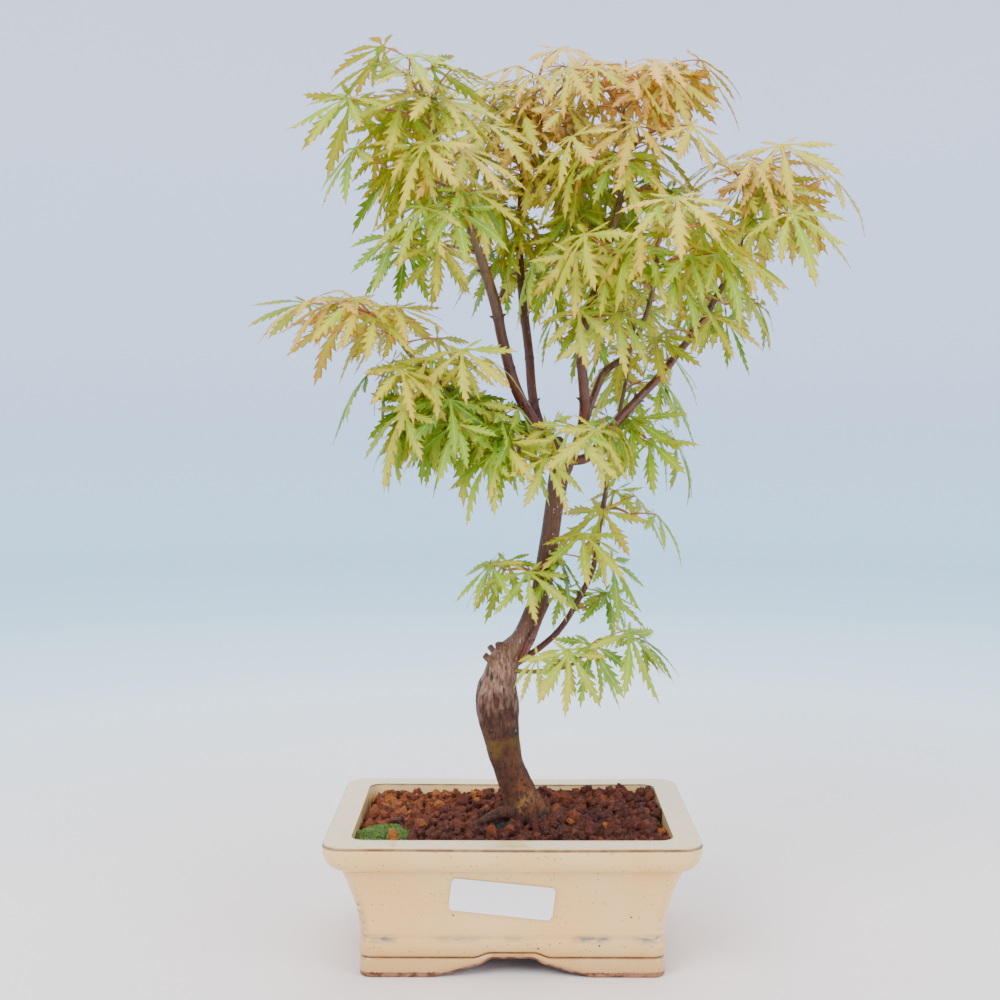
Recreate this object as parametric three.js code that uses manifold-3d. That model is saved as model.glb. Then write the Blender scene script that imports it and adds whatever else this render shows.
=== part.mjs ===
// A grafted laceleaf maple grown as a bonsai in a rectangular glazed pot.
// Millimetres, +Z up, +X to the right and +Y to the rear of the pot.
import * as THREE from "three";
import { mergeVertices } from "three/addons/utils/BufferGeometryUtils.js";
import Module from "manifold-3d";

const wasm = await Module();
wasm.setup();

// ---------- driving dimensions ----------

// Gap kept between pieces that touch.
const CLEARANCE = 0.3;
// Slivers finer than this are merged away after a cut, and a nick of this size opens a pinched edge.
const SLIVER = 0.01;
const NICK = 0.05;

// Pot.
const POT_LENGTH = 185;
const POT_DEPTH = 132;
const POT_HEIGHT = 70;
const POT_WALL = 6.5;
const POT_FLOOR_THICKNESS = 7;
const RIM_WIDTH = 13.5;
const RIM_CORNER_RADIUS = 11;
const RIM_EDGE_ROUND = 2;
const BULGE_HEIGHT = 12;
const BULGE_DEPTH = 8;
const FOOT_INSET = 17;
const FOOT_HEIGHT = 10;
const FOOT_RAIL_WIDTH = 9;
const FOOT_GROOVE = 1.2;
const BEAD_HEIGHT = 9;
const FRONT_ARCH_LENGTH = 90;
const SIDE_ARCH_LENGTH = 46;
const ARCH_HEIGHT = 8;
const DRAIN_HOLE_RADIUS = 8;
const DRAIN_HOLE_SPACING = 76;

// Drain screens and the bent wires that hold them.
const SCREEN_WIDTH = 21;
const SCREEN_THICKNESS = 1;
const SCREEN_BAR = 1.4;
const SCREEN_BARS = 4;
const CLIP_WIRE_RADIUS = 0.6;
const CLIP_TOE = 9;

// Sticker on the front wall.
const LABEL_LENGTH = 51;
const LABEL_HEIGHT = 18;
const LABEL_THICKNESS = 0.4;
const LABEL_STANDOFF = 0.5;
const LABEL_TILT = THREE.MathUtils.degToRad(-6.5);
const LABEL_CENTRE_X = -5;
const LABEL_BELOW_RIM = 29;

// Soil.
const SOIL_BELOW_RIM = 5;
const GRANULE_LAYER = 8;
const GRANULE_LUMP = 1.8;
const MOSS_LENGTH = 27;
const MOSS_DEPTH = 42;
const MOSS_HEIGHT = 3.5;
const TUFT_LENGTH = 12;
const TUFT_DEPTH = 14;
const TUFT_HEIGHT = 2;

// Tree.
const TRUNK_X = 10;
const TRUNK_Y = 4;
const TRUNK_THICKNESS = 1;
const STEM_THICKNESS = 1;
const TWIG_RADIUS = 0.9;
const PETIOLE_RADIUS = 0.5;
const PETIOLE_LENGTH = 17;
const NODE_SPACING = 17;
const LEAF_LENGTH = 33;
const LEAF_THICKNESS = 0.9;

// ---------- heights and half sizes that follow ----------

const SOIL_Z = POT_HEIGHT - SOIL_BELOW_RIM;
const ROOT_BALL_TOP = SOIL_Z - GRANULE_LAYER + 2;
const POT_FLOOR_Z = FOOT_HEIGHT + POT_FLOOR_THICKNESS;
const WAIST_Z = FOOT_HEIGHT + BEAD_HEIGHT + 3;
const BULGE_Z = POT_HEIGHT - RIM_EDGE_ROUND - BULGE_HEIGHT;
const LABEL_CENTRE_Z = POT_HEIGHT - LABEL_BELOW_RIM;

// ---------- solids ----------

// A repeatable number from 0 to 1 for a piece and a feature of it.
function vary(piece, feature) {
  const s = Math.sin(piece * 12.9898 + feature * 78.233) * 43758.5453;
  return s - Math.floor(s);
}

// A closed three.js geometry as a solid that can be cut and joined.
function solid(geometry) {
  const bare = geometry.index ? geometry.toNonIndexed() : geometry.clone();
  bare.deleteAttribute("normal");
  bare.deleteAttribute("uv");
  const merged = mergeVertices(bare, 1e-3);
  return new wasm.Manifold(
    new wasm.Mesh({
      numProp: 3,
      vertProperties: merged.attributes.position.array,
      triVerts: new Uint32Array(merged.index.array),
    }),
  );
}

// A solid's surface as a three.js geometry.
function geometryOf(body) {
  const { numProp, vertProperties, triVerts } = body.getMesh();
  const geometry = new THREE.BufferGeometry();
  geometry.setAttribute("position", new THREE.BufferAttribute(new Float32Array(vertProperties), numProp));
  geometry.setIndex(new THREE.BufferAttribute(new Uint32Array(triVerts), 1));
  return geometry;
}

// Edges of a geometry, as end points, along which more than two faces meet.
function pinchedEdges(geometry) {
  const merged = mergeVertices(geometry, 1e-3);
  const { array } = merged.index;
  const faces = new Map();
  for (let i = 0; i < array.length; i++) {
    const ends = [array[i], array[i % 3 === 2 ? i - 2 : i + 1]].sort((a, b) => a - b);
    const key = ends.join(" ");
    faces.set(key, (faces.get(key) ?? 0) + 1);
  }
  const pinched = [...faces].filter(([, count]) => count > 2);
  const at = (k) => new THREE.Vector3().fromBufferAttribute(merged.attributes.position, Number(k));
  return pinched.map(([key]) => key.split(" ").map(at));
}

// The largest body of a cut solid, slivers merged away, and opened a little along any pinched edge.
function largestBody(cut) {
  const bodies = solid(geometryOf(cut.simplify(SLIVER))).decompose();
  const [largest] = bodies.sort((a, b) => b.volume() - a.volume());
  const pinched = pinchedEdges(geometryOf(largest));
  if (pinched.length === 0) return largest;
  const nicks = pinched.map(([a, b]) => tube(new THREE.LineCurve3(a, b), () => NICK, 4, 1, NICK));
  return largestBody(clearOf(largest, nicks));
}

function clearOf(body, cutters) {
  return cutters.reduce((left, cutter) => left.subtract(cutter), body);
}

// A solid as a named mesh with its finish.
function piece(name, body, finish) {
  const geometry = geometryOf(body);
  geometry.computeVertexNormals();
  const mesh = new THREE.Mesh(geometry, finish);
  mesh.name = name;
  return mesh;
}

// Closed geometry through rings of equal point count; every ring is convex, so its ends close as fans.
function loft(rings) {
  const count = rings[0].length;
  const points = rings.flat();
  const index = [];
  for (let r = 0; r + 1 < rings.length; r++) {
    for (let i = 0; i < count; i++) {
      const a = r * count + i;
      const b = r * count + ((i + 1) % count);
      index.push(a, b, b + count, a, b + count, a + count);
    }
  }
  const top = (rings.length - 1) * count;
  for (let i = 1; i + 1 < count; i++) {
    index.push(0, i + 1, i, top, top + i, top + i + 1);
  }
  const geometry = new THREE.BufferGeometry().setFromPoints(points);
  geometry.setIndex(index);
  return geometry;
}

// A ring round a rectangle with rounded corners, seen from above, at one height.
function rectangleRing(halfX, halfY, radius, z, cornerSteps = 3) {
  const ring = [];
  for (let corner = 0; corner < 4; corner++) {
    const signX = corner === 0 || corner === 3 ? 1 : -1;
    const signY = corner < 2 ? 1 : -1;
    for (let s = 0; s <= cornerSteps; s++) {
      const angle = ((corner + s / cornerSteps) * Math.PI) / 2;
      const x = signX * (halfX - radius) + radius * Math.cos(angle);
      const y = signY * (halfY - radius) + radius * Math.sin(angle);
      ring.push(new THREE.Vector3(x, y, z));
    }
  }
  return ring;
}

// A ring set in from the pot's widest outline.
function potRing([inset, z]) {
  const radius = Math.max(RIM_CORNER_RADIUS - inset * 0.3, 2);
  return rectangleRing(POT_LENGTH / 2 - inset, POT_DEPTH / 2 - inset, radius, z);
}

// A round, tapering tube along a curve; grow makes the same tube fatter all over.
function tube(curve, radiusAt, sides, steps, grow = 0) {
  const frames = curve.computeFrenetFrames(steps);
  const rings = [];
  for (let s = 0; s <= steps; s++) {
    const t = s / steps;
    const centre = curve.getPointAt(t);
    if (s === 0) centre.addScaledVector(frames.tangents[s], -grow);
    if (s === steps) centre.addScaledVector(frames.tangents[s], grow);
    const radius = radiusAt(t) + grow;
    const ring = [];
    for (let i = 0; i < sides; i++) {
      const angle = (2 * Math.PI * i) / sides;
      ring.push(
        centre
          .clone()
          .addScaledVector(frames.normals[s], radius * Math.cos(angle))
          .addScaledVector(frames.binormals[s], radius * Math.sin(angle)),
      );
    }
    rings.push(ring);
  }
  return solid(loft(rings));
}

function curveThrough(points) {
  return new THREE.CatmullRomCurve3(
    points.map((p) => (p.isVector3 ? p : new THREE.Vector3(...p))),
    false,
    "catmullrom",
    0.5,
  );
}

// Straight-line reading of a list of values spread evenly from 0 to 1.
function along(values) {
  return (t) => {
    const place = Math.min(t, 0.9999) * (values.length - 1);
    const low = Math.floor(place);
    return values[low] + (values[low + 1] - values[low]) * (place - low);
  };
}

// ---------- pot ----------

// How far the coved wall stands in from the widest outline at a height.
function wallInset(z) {
  const t = THREE.MathUtils.clamp((z - WAIST_Z) / (BULGE_Z - WAIST_Z), 0, 1);
  return FOOT_INSET - (FOOT_INSET - BULGE_DEPTH) * t ** 1.7;
}

function potOutside() {
  const profile = [
    [FOOT_INSET, 0],
    [FOOT_INSET, FOOT_HEIGHT - 1],
    [FOOT_INSET + FOOT_GROOVE, FOOT_HEIGHT],
    [FOOT_INSET + FOOT_GROOVE, FOOT_HEIGHT + 1],
    [FOOT_INSET, FOOT_HEIGHT + 2.5],
    [FOOT_INSET - 0.4, FOOT_HEIGHT + 0.6 * BEAD_HEIGHT],
    [FOOT_INSET, FOOT_HEIGHT + BEAD_HEIGHT],
  ];
  const coveSteps = 5;
  for (let s = 0; s <= coveSteps; s++) {
    const z = WAIST_Z + ((BULGE_Z - WAIST_Z) * s) / coveSteps;
    profile.push([wallInset(z), z]);
  }
  const bulgeSteps = 4;
  for (let s = 1; s <= bulgeSteps; s++) {
    const angle = ((s / bulgeSteps) * Math.PI) / 2;
    profile.push([BULGE_DEPTH * (1 - Math.sin(angle)), BULGE_Z + BULGE_HEIGHT * (1 - Math.cos(angle))]);
  }
  profile.push([RIM_EDGE_ROUND * 0.3, POT_HEIGHT - 0.3 * RIM_EDGE_ROUND]);
  profile.push([RIM_EDGE_ROUND, POT_HEIGHT]);
  return solid(loft(profile.map(potRing)));
}

// The space inside the pot, drawn in by a gap and closed at a chosen height.
function potInside(gap, topZ) {
  const profile = [];
  const steps = 4;
  for (let s = 0; s <= steps; s++) {
    const z = POT_FLOOR_Z + gap + ((BULGE_Z - POT_FLOOR_Z - gap) * s) / steps;
    profile.push([Math.max(wallInset(z) + POT_WALL, RIM_WIDTH) + gap, z]);
  }
  profile.push([RIM_WIDTH + gap, BULGE_Z + 3]);
  if (topZ > BULGE_Z + 3) profile.push([RIM_WIDTH + gap, topZ]);
  return solid(loft(profile.filter(([, z]) => z <= topZ).map(potRing)));
}

// A long low arch that cuts through the foot rail, as a prism along its own Y.
function archCutter(length, through) {
  const half = length / 2;
  const outline = new THREE.Shape();
  outline.moveTo(-half, -1);
  outline.lineTo(-half, 0);
  const crown = 0.35 * half;
  const knee = 0.45 * ARCH_HEIGHT;
  outline.bezierCurveTo(-0.7 * half, knee, -0.5 * half, ARCH_HEIGHT, -crown, ARCH_HEIGHT);
  outline.lineTo(crown, ARCH_HEIGHT);
  outline.bezierCurveTo(0.5 * half, ARCH_HEIGHT, 0.7 * half, knee, half, 0);
  outline.lineTo(half, -1);
  const prism = new THREE.ExtrudeGeometry(outline, {
    depth: through,
    bevelEnabled: false,
    curveSegments: 5,
  });
  return prism.translate(0, 0, -through / 2).rotateX(Math.PI / 2);
}

function drainHoleCentres() {
  return [-DRAIN_HOLE_SPACING / 2, DRAIN_HOLE_SPACING / 2];
}

function makePot() {
  const railX = POT_LENGTH / 2 - FOOT_INSET - FOOT_RAIL_WIDTH;
  const railY = POT_DEPTH / 2 - FOOT_INSET - FOOT_RAIL_WIDTH;
  const underside = loft([
    rectangleRing(railX, railY, 4, -1),
    rectangleRing(railX, railY, 4, FOOT_HEIGHT),
  ]);
  let pot = potOutside()
    .subtract(potInside(0, POT_HEIGHT + 1))
    .subtract(solid(underside))
    .subtract(solid(archCutter(FRONT_ARCH_LENGTH, POT_DEPTH)))
    .subtract(solid(archCutter(SIDE_ARCH_LENGTH, POT_LENGTH).rotateZ(Math.PI / 2)));
  for (const x of drainHoleCentres()) {
    const depth = 3 * POT_FLOOR_THICKNESS;
    const hole = new THREE.CylinderGeometry(DRAIN_HOLE_RADIUS, DRAIN_HOLE_RADIUS, depth, 16);
    pot = pot.subtract(solid(hole.rotateX(Math.PI / 2).translate(x, 0, POT_FLOOR_Z)));
  }
  return pot;
}

// A square of crossed bars that covers a drain hole.
function makeScreen(x) {
  const pitch = (SCREEN_WIDTH - SCREEN_BAR) / (SCREEN_BARS - 1);
  const z = POT_FLOOR_Z + CLEARANCE + SCREEN_THICKNESS / 2;
  let screen = null;
  for (let i = 0; i < SCREEN_BARS; i++) {
    const offset = -(SCREEN_WIDTH - SCREEN_BAR) / 2 + i * pitch;
    const bar = new THREE.BoxGeometry(SCREEN_BAR, SCREEN_WIDTH, SCREEN_THICKNESS);
    const cross = new THREE.BoxGeometry(SCREEN_WIDTH, SCREEN_BAR, SCREEN_THICKNESS);
    const pair = solid(bar.translate(x + offset, 0, z)).add(solid(cross.translate(x, offset, z)));
    screen = screen ? screen.add(pair) : pair;
  }
  return screen;
}

// The room that a screen takes up in the soil over it.
function makeScreenRoom(x) {
  const width = SCREEN_WIDTH + 2 * CLEARANCE;
  const height = SCREEN_THICKNESS + 2 * CLEARANCE;
  return solid(new THREE.BoxGeometry(width, width, height).translate(x, 0, POT_FLOOR_Z + height / 2));
}

// A wire staple over the screen: its legs go down through mesh and hole and bend out under the floor.
function makeClip(x, grow = 0) {
  const top = POT_FLOOR_Z + 2 * CLEARANCE + SCREEN_THICKNESS + CLIP_WIRE_RADIUS;
  const under = FOOT_HEIGHT - CLEARANCE - CLIP_WIRE_RADIUS;
  const leg = (SCREEN_WIDTH - SCREEN_BAR) / (SCREEN_BARS - 1);
  const bend = 1.5;
  const half = [
    [leg - bend, top],
    [leg, top - bend],
    [leg, under + bend],
    [leg + bend, under],
    [leg + CLIP_TOE, under],
  ];
  const corners = [...half.map(([y, z]) => [-y, z]).reverse(), ...half];
  return wireAlong(corners.map(([y, z]) => new THREE.Vector3(x, y, z)), CLIP_WIRE_RADIUS + grow);
}

// A six-sided wire through given corners that lie in a plane of constant x.
function wireAlong(corners, radius) {
  const sides = 6;
  const rings = corners.map((corner, k) => {
    const before = corners[Math.max(k - 1, 0)];
    const after = corners[Math.min(k + 1, corners.length - 1)];
    const heading = after.clone().sub(before).normalize();
    const across = new THREE.Vector3(1, 0, 0);
    const outward = heading.clone().cross(across);
    return Array.from({ length: sides }, (_, i) => {
      const angle = (2 * Math.PI * i) / sides;
      return corner
        .clone()
        .addScaledVector(across, radius * Math.cos(angle))
        .addScaledVector(outward, radius * Math.sin(angle));
    });
  });
  return solid(loft(rings));
}

// A closed thin sheet over a grid: pointAt(u, v, side) gives its back (0) and its front (1).
function sheet(columns, rows, pointAt) {
  const points = [];
  const at = (i, j, side) => side * (columns + 1) * (rows + 1) + j * (columns + 1) + i;
  for (const side of [0, 1]) {
    for (let j = 0; j <= rows; j++) {
      for (let i = 0; i <= columns; i++) points.push(pointAt(i / columns, j / rows, side));
    }
  }
  const index = [];
  const quad = (a, b, c, d) => index.push(a, b, c, a, c, d);
  for (let j = 0; j < rows; j++) {
    for (let i = 0; i < columns; i++) {
      quad(at(i, j, 1), at(i + 1, j, 1), at(i + 1, j + 1, 1), at(i, j + 1, 1));
      quad(at(i, j, 0), at(i, j + 1, 0), at(i + 1, j + 1, 0), at(i + 1, j, 0));
    }
  }
  for (let i = 0; i < columns; i++) {
    quad(at(i, 0, 0), at(i + 1, 0, 0), at(i + 1, 0, 1), at(i, 0, 1));
    quad(at(i + 1, rows, 0), at(i, rows, 0), at(i, rows, 1), at(i + 1, rows, 1));
  }
  for (let j = 0; j < rows; j++) {
    quad(at(0, j + 1, 0), at(0, j, 0), at(0, j, 1), at(0, j + 1, 1));
    quad(at(columns, j, 0), at(columns, j + 1, 0), at(columns, j + 1, 1), at(columns, j, 1));
  }
  const geometry = new THREE.BufferGeometry().setFromPoints(points);
  geometry.setIndex(index);
  return geometry;
}

// The sticker lies on the coved front wall and bends with it.
function makeLabel() {
  const pointAt = (u, v, side) => {
    const a = (u - 0.5) * LABEL_LENGTH;
    const b = (v - 0.5) * LABEL_HEIGHT;
    const x = LABEL_CENTRE_X + a * Math.cos(LABEL_TILT) - b * Math.sin(LABEL_TILT);
    const z = LABEL_CENTRE_Z + a * Math.sin(LABEL_TILT) + b * Math.cos(LABEL_TILT);
    const proud = LABEL_STANDOFF + side * LABEL_THICKNESS;
    return new THREE.Vector3(x, wallInset(z) - POT_DEPTH / 2 - proud, z);
  };
  return solid(sheet(4, 4, pointAt));
}

// ---------- soil and moss ----------

// A mound with a flat underside: rings of its outline drawn in to the middle, raised by heightAt(share).
function mound(outline, bottomZ, ringCount, topAt) {
  const count = outline.length;
  const middle = outline
    .reduce((sum, p) => sum.add(p), new THREE.Vector3())
    .divideScalar(count);
  const rings = [outline.map((p) => new THREE.Vector3(p.x, p.y, bottomZ))];
  for (let r = 0; r < ringCount; r++) {
    const share = 1 - r / ringCount;
    rings.push(
      outline.map((p, i) => {
        const x = middle.x + (p.x - middle.x) * share;
        const y = middle.y + (p.y - middle.y) * share;
        return new THREE.Vector3(x, y, topAt(share, r * count + i));
      }),
    );
  }
  return solid(loft(rings));
}

function soilOutline(gap) {
  const inset = RIM_WIDTH + gap;
  const radius = Math.max(RIM_CORNER_RADIUS - inset * 0.3, 2);
  return rectangleRing(POT_LENGTH / 2 - inset, POT_DEPTH / 2 - inset, radius, 0);
}

function makeGranules() {
  const outline = splitLongEdges(soilOutline(CLEARANCE), 18);
  const topAt = (share, k) => SOIL_Z + GRANULE_LUMP * (vary(3, k) - 0.5) - (share === 1 ? 1.5 : 0);
  return mound(outline, ROOT_BALL_TOP + CLEARANCE, 4, topAt);
}

// The same ring with points added so that no edge is longer than a given length.
function splitLongEdges(ring, longest) {
  return ring.flatMap((p, i) => {
    const next = ring[(i + 1) % ring.length];
    const parts = Math.max(1, Math.ceil(p.distanceTo(next) / longest));
    return Array.from({ length: parts }, (_, k) => p.clone().lerp(next, k / parts));
  });
}

// A moss pad with an uneven oval outline, let into the granules.
function mossPad(centreX, centreY, length, depth, height, seed, gap) {
  const count = 14;
  const outline = Array.from({ length: count }, (_, i) => {
    const angle = (2 * Math.PI * i) / count;
    const reach = 1 - 0.14 * vary(seed, i);
    const x = centreX + (length / 2) * reach * Math.cos(angle) + gap * Math.cos(angle);
    const y = centreY + (depth / 2) * reach * Math.sin(angle) + gap * Math.sin(angle);
    return new THREE.Vector3(x, y, 0);
  });
  const topAt = (share, k) => SOIL_Z + height * (1 - share ** 2) + 0.8 * (vary(seed, k) - 0.5) + gap;
  return mound(outline, ROOT_BALL_TOP + CLEARANCE - gap, 3, topAt);
}

function makeMoss(gap) {
  const x = -(POT_LENGTH / 2 - RIM_WIDTH - 0.5 - MOSS_LENGTH / 2);
  const y = -(POT_DEPTH / 2 - RIM_WIDTH - 0.5 - MOSS_DEPTH / 2);
  return mossPad(x, y, MOSS_LENGTH, MOSS_DEPTH, MOSS_HEIGHT, 5, gap);
}

function makeTuft(gap) {
  return mossPad(TRUNK_X - 17, TRUNK_Y - 10, TUFT_LENGTH, TUFT_DEPTH, TUFT_HEIGHT, 6, gap);
}

// ---------- wood ----------

// Points of each stem from the soil surface at the trunk, its thickness along it, and its sides.
const STEMS = {
  rootstock_trunk: {
    path: [
      [0, 0, -14], [-2, 0, 2], [-7, 1, 15], [-13, 1, 31], [-17, 0, 53],
      [-18, -1, 64], [-16, -1, 76], [-14, -1, 84],
    ],
    radii: [8, 10, 9.3, 8.6, 9, 10.6, 11.2, 9],
    sides: 10,
    steps: 9,
  },
  scion_trunk: {
    path: [
      [-13, -1, 86], [-5, -1, 94], [0, -1, 105], [5, -1, 120], [8, -1, 137],
      [11, -1, 158], [14, -1, 178], [17, -2, 190],
    ],
    radii: [6.4, 5.6, 5.1, 5, 5, 4.8, 4.9, 5.2],
    sides: 8,
    steps: 10,
  },
  left_leader: {
    path: [
      [15, -2, 188], [7, -3, 199], [-1, -7, 211], [-9, -12, 227], [-15, -19, 250],
      [-19, -25, 270], [-30, -34, 302], [-42, -42, 329], [-50, -46, 356],
    ],
    radii: [3.4, 3, 2.9, 2.8, 2.7, 2.4, 2, 1.6, 1.1],
    sides: 6,
    steps: 10,
  },
  rear_leader: {
    path: [
      [15, 3, 192], [6, 11, 204], [1, 16, 220], [-1, 22, 247], [-4, 28, 274],
      [-6, 34, 306], [-5, 40, 340], [-1, 44, 368],
    ],
    radii: [2.8, 2.6, 2.5, 2.4, 2.2, 1.8, 1.4, 1],
    sides: 6,
    steps: 9,
  },
  centre_leader: {
    path: [
      [18, -5, 189], [24, -8, 199], [27, -12, 216], [25, -18, 245], [27, -22, 259],
      [35, -16, 285], [43, -8, 315], [48, 2, 344], [47, 6, 375],
    ],
    radii: [2.9, 2.8, 2.6, 2.3, 2, 1.7, 1.4, 1.2, 0.9],
    sides: 6,
    steps: 9,
  },
  right_leader: {
    path: [
      [19, 2, 188], [31, 4, 191], [47, 10, 210], [68, 18, 232], [79, 20, 246],
      [90, 22, 260], [98, 24, 274], [107, 26, 290], [113, 28, 307], [115, 31, 335],
    ],
    radii: [2.7, 2.6, 2.4, 2.2, 2.1, 1.9, 1.7, 1.5, 1.2, 0.9],
    sides: 6,
    steps: 10,
  },
  centre_right_stem: {
    path: [
      [26, -9, 200], [29, -6, 212], [34, -2, 225], [38, 0, 234], [48, -8, 242],
      [54, -18, 254], [58, -28, 268], [60, -38, 282], [60, -44, 296],
    ],
    radii: [2, 2, 1.9, 1.8, 1.5, 1.4, 1.2, 1.1, 0.9],
    sides: 6,
    steps: 9,
  },
  long_side_shoot: {
    path: [
      [-9, 3, 80], [7, 6, 91], [17, 8, 101], [26, 12, 116], [33, 16, 131],
      [37, 22, 153], [41, 28, 172], [45, 36, 198], [50, 42, 217], [56, 50, 250],
      [58, 54, 265],
    ],
    radii: [1.7, 1.7, 1.6, 1.6, 1.5, 1.4, 1.3, 1.2, 1.1, 1, 0.9],
    sides: 6,
    steps: 12,
  },
  low_side_shoot: {
    path: [[-10, -6, 79], [2, -8, 79], [12, -12, 81], [20, -16, 84], [26, -20, 90], [33, -24, 98]],
    radii: [1.3, 1.2, 1.1, 1, 1, 0.9],
    sides: 6,
    steps: 6,
  },
  side_branch_left: {
    path: [
      [9, -6, 196], [-3, -12, 202], [-16, -16, 207], [-26, -22, 213], [-43, -29, 226],
      [-58, -35, 239], [-70, -40, 255],
    ],
    radii: [1.8, 1.7, 1.5, 1.4, 1.2, 1.1, 0.9],
    sides: 6,
    steps: 8,
  },
};

// Roots: two that show on the soil and four that hold the tree down inside the root ball.
const ROOTS = [
  { path: [[-4, -2, 3], [-16, -7, 4.5], [-25, -15, 2.5], [-31, -19, 1]], radii: [4, 3.2, 2.4, 1.8] },
  { path: [[3, 2, 0], [14, 5, 0.5], [22, 9, -3]], radii: [5, 3.2, 2] },
  { path: [[0, -2, -8], [12, -10, -16], [34, -18, -22]], radii: [5, 3, 1.6] },
  { path: [[-2, 2, -8], [-14, 10, -15], [-46, 18, -22]], radii: [5, 3, 1.6] },
  { path: [[0, 2, -8], [6, 14, -15], [16, 30, -22]], radii: [5, 3, 1.6] },
  { path: [[-2, -2, -8], [-12, -12, -16], [-30, -24, -22]], radii: [5, 3, 1.6] },
];

function fromTrunkBase([x, y, z]) {
  return new THREE.Vector3(TRUNK_X + x, TRUNK_Y + y, SOIL_Z + z);
}

const stemCurves = Object.fromEntries(
  Object.entries(STEMS).map(([name, { path }]) => [name, curveThrough(path.map(fromTrunkBase))]),
);

function makeStem(name, grow = 0) {
  const { radii, sides, steps } = STEMS[name];
  const thickness = name.endsWith("trunk") ? TRUNK_THICKNESS : STEM_THICKNESS;
  const radiusAt = along(radii.map((r) => r * thickness));
  let stem = tube(stemCurves[name], radiusAt, sides, steps, grow);
  if (name !== "rootstock_trunk") return stem;
  for (const root of ROOTS) {
    const rootCurve = curveThrough(root.path.map(fromTrunkBase));
    stem = stem.add(tube(rootCurve, along(root.radii.map((r) => r * TRUNK_THICKNESS)), 5, 3, grow));
  }
  return stem;
}

// ---------- leafy sprays ----------

// carrier stem, place along it, reach of the twig, number of leaves, size and droop of the leaves.
const SPRAYS = {
  crown_left: ["left_leader", 0.97, [-12, -10, 22], 5, 1, 35],
  crown_left_top: ["left_leader", 0.99, [4, -4, 14], 3, 0.9, 15],
  left_high: ["left_leader", 0.88, [-26, -14, -6], 5, 1, 50],
  left_inner: ["left_leader", 0.82, [-4, -28, 8], 3, 1, 45],
  left_middle: ["left_leader", 0.74, [-8, -26, -4], 4, 1, 50],
  left_rear: ["left_leader", 0.8, [-24, 24, 6], 5, 1, 45],
  left_low: ["left_leader", 0.62, [-30, 4, 2], 4, 1, 50],
  side_tip: ["side_branch_left", 0.98, [-14, -6, 8], 3, 1.15, 25],
  side_up: ["side_branch_left", 0.86, [-4, 10, 18], 3, 0.95, 35],
  side_low: ["side_branch_left", 0.7, [-14, -16, -4], 4, 1.05, 50],
  side_middle: ["side_branch_left", 0.56, [4, -12, 20], 3, 0.9, 40],
  mass_front: ["side_branch_left", 0.3, [-10, -26, -8], 5, 1.05, 54],
  mass_left: ["side_branch_left", 0.42, [-22, -8, -14], 5, 1.1, 54],
  mass_rear: ["side_branch_left", 0.36, [-18, 26, -8], 5, 1, 50],
  mass_low: ["side_branch_left", 0.16, [-2, -30, -14], 4, 1, 54],
  fork_front: ["centre_leader", 0.08, [0, -30, -2], 4, 1, 54],
  right_low: ["long_side_shoot", 0.7, [16, -16, -6], 4, 1, 50],
  right_rear: ["long_side_shoot", 0.8, [14, 26, 4], 4, 1, 50],
  right_middle: ["long_side_shoot", 0.86, [10, -24, 8], 3, 0.95, 45],
  right_top: ["long_side_shoot", 0.98, [-6, 16, 16], 4, 1, 40],
  right_node: ["right_leader", 0.52, [4, -18, 6], 3, 0.9, 50],
  right_upper: ["right_leader", 0.7, [-8, -24, 8], 4, 1, 45],
  right_outer: ["right_leader", 0.62, [12, 24, 4], 4, 1, 50],
  trunk_left: ["scion_trunk", 0.42, [-20, -16, 6], 5, 0.95, 54],
  shoot_front: ["long_side_shoot", 0.3, [-4, -22, 20], 3, 0.95, 50],
  shoot_right: ["long_side_shoot", 0.48, [14, -10, -2], 3, 1, 40],
  low_front: ["low_side_shoot", 0.55, [0, -20, 10], 3, 0.9, 50],
  low_tip: ["low_side_shoot", 0.98, [6, -12, 2], 3, 1, 50],
  low_rear: ["long_side_shoot", 0.2, [10, 12, 0], 3, 0.85, 45],
  tip_top: ["right_leader", 0.97, [-6, -8, 10], 3, 0.95, 25],
  tip_right: ["right_leader", 0.92, [24, -12, 8], 5, 1.05, 50],
  tip_front: ["right_leader", 0.84, [14, -20, 6], 4, 1, 50],
  fore_right: ["centre_right_stem", 0.98, [6, -18, 12], 5, 1.25, 35],
  fore_left: ["centre_right_stem", 0.78, [-22, -24, 16], 5, 1.1, 45],
  top_middle: ["rear_leader", 0.98, [32, -24, 30], 5, 1, 30],
  top_left: ["rear_leader", 0.92, [-14, -14, 20], 5, 1, 30],
  top_right: ["centre_leader", 0.97, [26, -6, 22], 5, 1, 35],
  top_front: ["centre_leader", 0.84, [16, -24, 10], 5, 1, 40],
  rear_high: ["rear_leader", 0.82, [10, 30, 10], 5, 1, 45],
  rear_low: ["rear_leader", 0.55, [-10, 30, 4], 5, 1, 50],
};

// Least and most rise of a petiole, in degrees.
const RISE_LEAST = -5;
const RISE_MOST = 30;

function rising(heading, elevation) {
  return new THREE.Vector3(
    Math.cos(heading) * Math.cos(elevation),
    Math.sin(heading) * Math.cos(elevation),
    Math.sin(elevation),
  );
}

// Lobes of a leaf: angle from the main lobe in degrees, and length as a share of it.
const LOBES = [[-84, 0.7], [-40, 0.92], [0, 1], [40, 0.92], [84, 0.7]];
const SINUS_SHARE = 0.2;
const BACK_SINUS = 140;
// How far behind the middle of a blade its petiole begins, and how much the lobes curve down.
const HEEL = 2;
const LOBE_SAG = 0.22;
// A blade's room grows more at its thin edge than in its thickness.
const EDGE_GROWTH = 3;

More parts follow.
